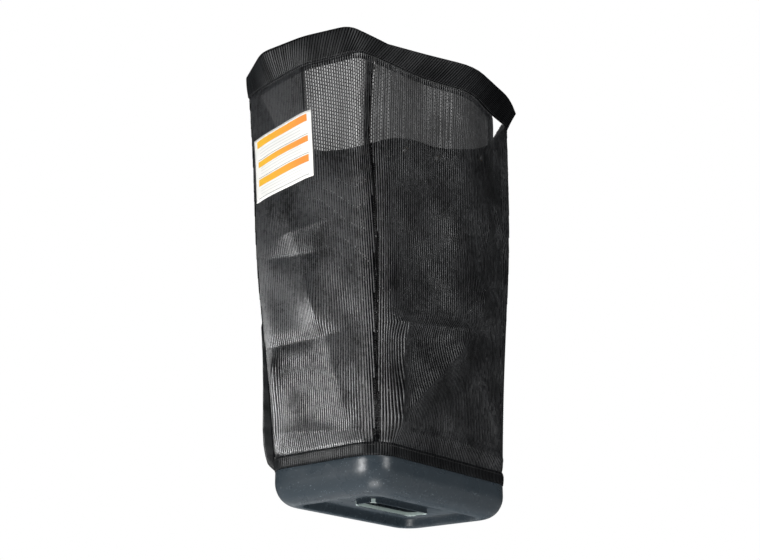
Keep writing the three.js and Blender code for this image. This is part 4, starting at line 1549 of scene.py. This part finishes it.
    def _patch_place(self, u: Array, v: Array) -> Place:
        """Where a place on the patch lies, as share and level."""
        first, last = (column / self.short_columns for column in self.label_columns)
        bottom, top = (level + self.label_tilt * u for level in self.label_levels)
        return first + (last - first) * u, bottom + (top - bottom) * v

    def _tape_place(self, u: Array, v: Array) -> Place:
        """Where a place on the tape lies, as share and level."""
        low, high = self.tape_levels
        return self.tape_share + (u - 0.5) * self.tape_width, low + (high - low) * v

    def _fin(self) -> None:
        """The left corner's allowance low down, where it stands out and curls at its foot."""
        levels, widths = zip(*self.fin_widths)
        count, across, fade = 60, 6, self.fin_fade_levels
        level = np.linspace(levels[0] - 0.008, levels[-1] + fade, count)
        wide = np.interp(level, levels, widths) * ease((level - level[0]) / fade) ** 0.5
        wide *= 1 - 0.9 * ease((level - levels[-1]) / fade)
        point, normal = self.shape.ring(np.full(count, float(Side.LABEL.value)), level)
        out = unit(normal * np.array([1.0, 1.0, 0.0]))
        side = np.stack([-out[:, 1], out[:, 0], np.zeros(count)], -1)
        u = np.linspace(0, 1, across)[:, None]
        # Its free edge waves by about a millimetre, in two lengths that don't fall together
        sway = (1.1 * np.sin(level * 95) + 0.6 * np.sin(level * 211 + 1))[None, :] * u
        foot = ease((levels[0] + self.fin_curl_levels - level) / self.fin_curl_levels)
        curl = -self.fin_curl * u ** 2 * foot[None, :]
        edge = point[None] + (out[None] * (0.4 + u * wide[None, :])[..., None]
                              + side[None] * (sway + curl)[..., None]) * MM
        half = side[None] * self.ply / 2 * MM
        flat = np.concatenate([(edge - half).reshape(-1, 3), (edge + half).reshape(-1, 3)])
        piece = mesh_object("left_seam_fin_cloth", flat, shell_quads(across, count),
                            self.finishes["double"])
        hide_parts("left_seam_fin")

    def _line(self, side: Side, share: Array, level: Array, lift: float) -> Place:
        """A line on the cloth, lifted outwards, with its outward directions."""
        point, normal = self.shape.cloth(side, share, level)
        return point + normal * lift * MM, normal

    def _stitching(self) -> None:
        """Sew the band, the binding and both edges of each corner seam."""
        way = np.linspace(0.004, 0.996, 160)
        upward = np.linspace(0.04, 0.985, 120)
        band_row = np.full(len(way), 1 + self.band_gap + self.band_stitches)
        binding_row = np.full(len(way), self.binding_stitches / self.shape.panel_height)
        on_band, on_binding, on_panel = self.stitch_lifts
        lines = []
        for side in Side:
            from_seam = self.seam_stitches / self.shape.width_at(side, upward)
            lines += [self._line(side, way, band_row, on_band),
                      self._line(side, way, binding_row, on_binding),
                      self._line(side, from_seam, upward, on_panel),
                      self._line(side, 1 - from_seam, upward, on_panel)]
        Stitching().build(lines, self.finishes["thread"])


@dataclass(frozen=True)
class Softbox:
    """A round lamp, placed in metres from a point over the cap's centre.

    That point has the given height, and the lamp is aimed at it or a little above.
    """

    name: str
    height: float
    away: tuple[float, float, float]
    size: float
    power: float
    aim_above: float = 0.0

    def build(self, centre: Sequence[float]) -> None:
        """Hang the lamp.

        Args:
            centre: the cap's centre, in mm.
        """
        data = bpy.data.lights.new(self.name, "AREA")
        data.shape = "DISK"
        data.size, data.energy = self.size, self.power
        lamp = bpy.data.objects.new(self.name, data)
        bpy.context.scene.collection.objects.link(lamp)
        point = Vector((centre[0] * MM, centre[1] * MM, self.height))
        lamp.location = point + Vector(self.away)
        aim = point + Vector((0, 0, self.aim_above))
        lamp.rotation_mode = "QUATERNION"
        lamp.rotation_quaternion = (aim - lamp.location).to_track_quat("-Z", "Y")


@dataclass
class Studio:
    """Soft white room, a pale floor seen only from above, and the photograph's low camera.

    The eye is in mm round the cap's centre, and the focal length is in the photograph's pixels.
    """

    shape: BagShape
    eye: tuple[float, float, float] = (-1582.6, -1250.7, -332.4)
    azimuth: float = -51.15
    elevation: float = -19.52
    focal_px: float = 1300.0
    photo_width_px: float = 760.0
    sensor_width: float = 36.0
    room_light: float = 0.06
    floor_white: str = "#F2F2F0"
    floor_size: float = 8.0
    floor_below: float = 0.0005
    lamps: tuple[Softbox, ...] = (
        Softbox("left_softbox", 0.11, (-1.15, 0.16, 0.02), 0.45, 10.5, 0.15),
        Softbox("front_softbox", 0.11, (-0.1, -1.7, 0.4), 0.5, 8.5),
        Softbox("high_softbox", 0.36, (-0.5, -1.9, 1.8), 1.2, 22.0),
        Softbox("low_softbox", 0.11, (0.25, 0.65, -0.95), 0.9, 21.0),
        Softbox("corner_softbox", 0.11, (-0.5, -0.45, -1.3), 0.5, 13.0))

    def build(self) -> None:
        """Make the world, floor, lamps and camera."""
        self._world()
        self._floor()
        for lamp in self.lamps:
            lamp.build(self.shape.cap_centre)
        self._camera()
        LOG.info("studio: %d lamps", len(self.lamps))

    def _world(self) -> None:
        """White where it is seen, and dim where it lights the bag."""
        g = Graph(bpy.data.worlds.new("white_room"))
        path = g.add("ShaderNodeLightPath")
        seen = g.add("ShaderNodeBackground", {"Color": (1, 1, 1, 1)})
        lit = g.add("ShaderNodeBackground", {"Color": srgb("#F4F6F8"), "Strength": self.room_light})
        bpy.context.scene.world = g.finish(
            g.add("ShaderNodeMixShader", {0: path.outputs["Is Camera Ray"], 1: lit, 2: seen}))

    def _floor(self) -> None:
        """A pale floor that is clear from below."""
        g = Graph(bpy.data.materials.new("pale_floor_one_sided"))
        under = g.add("ShaderNodeNewGeometry")
        clear = g.add("ShaderNodeBsdfTransparent")
        # Seen directly the floor glows near white with little of the lamps' pools, and the
        # object's shadow darkens it; the light that it throws back on the bag is a plain floor's
        seen = g.add("ShaderNodeLightPath").outputs["Is Camera Ray"]
        shade = g.add("ShaderNodeMapRange", {"Value": seen, "To Min": 0.885, "To Max": 0.3})
        pale = g.add("ShaderNodeBsdfDiffuse", {"Color": shade})
        glow = g.add("ShaderNodeMath", {0: seen, 1: 0.84}, operation="MULTIPLY")
        white = g.add("ShaderNodeEmission", {"Color": srgb(self.floor_white), "Strength": glow})
        top = g.add("ShaderNodeAddShader", {0: pale, 1: white})
        mix = g.add("ShaderNodeMixShader", {0: under.outputs["Backfacing"], 1: top, 2: clear})
        bpy.ops.mesh.primitive_plane_add(size=self.floor_size, location=(0, 0, -self.floor_below))
        floor = bpy.context.object
        floor.name = "studio_floor"
        floor.data.materials.append(g.finish(mix))
        # The photograph looks up at the cap, so lamps below the floor reach its underside
        floor.visible_shadow = False

    def _camera(self) -> None:
        """The photograph's camera, low and to the left of the near corner."""
        data = bpy.data.cameras.new("photo_camera")
        data.sensor_width = self.sensor_width
        data.lens = self.sensor_width * self.focal_px / self.photo_width_px
        data.clip_start, data.clip_end = 0.05, 50
        camera = bpy.data.objects.new("photo_camera", data)
        bpy.context.scene.collection.objects.link(camera)
        camera.location = (Vector(self.eye) + Vector((*self.shape.cap_centre, 0.0))) * MM
        a, e = math.radians(self.azimuth), math.radians(self.elevation)
        back = Vector((math.sin(a) * math.cos(e), -math.cos(a) * math.cos(e), math.sin(e)))
        camera.rotation_mode = "QUATERNION"
        camera.rotation_quaternion = (-back).to_track_quat("-Z", "Y")
        bpy.context.scene.camera = camera


def main() -> None:
    """Build the bag and its studio, and finish the frame."""
    low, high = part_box("end_cap")
    middle = (low + high) / 2 / MM
    shape = BagShape((middle.x, middle.y))
    Bag(shape).build()
    Studio(shape).build()
    bpy.context.scene.view_settings.view_transform = "Standard"


if __name__ == "__main__":
    main()
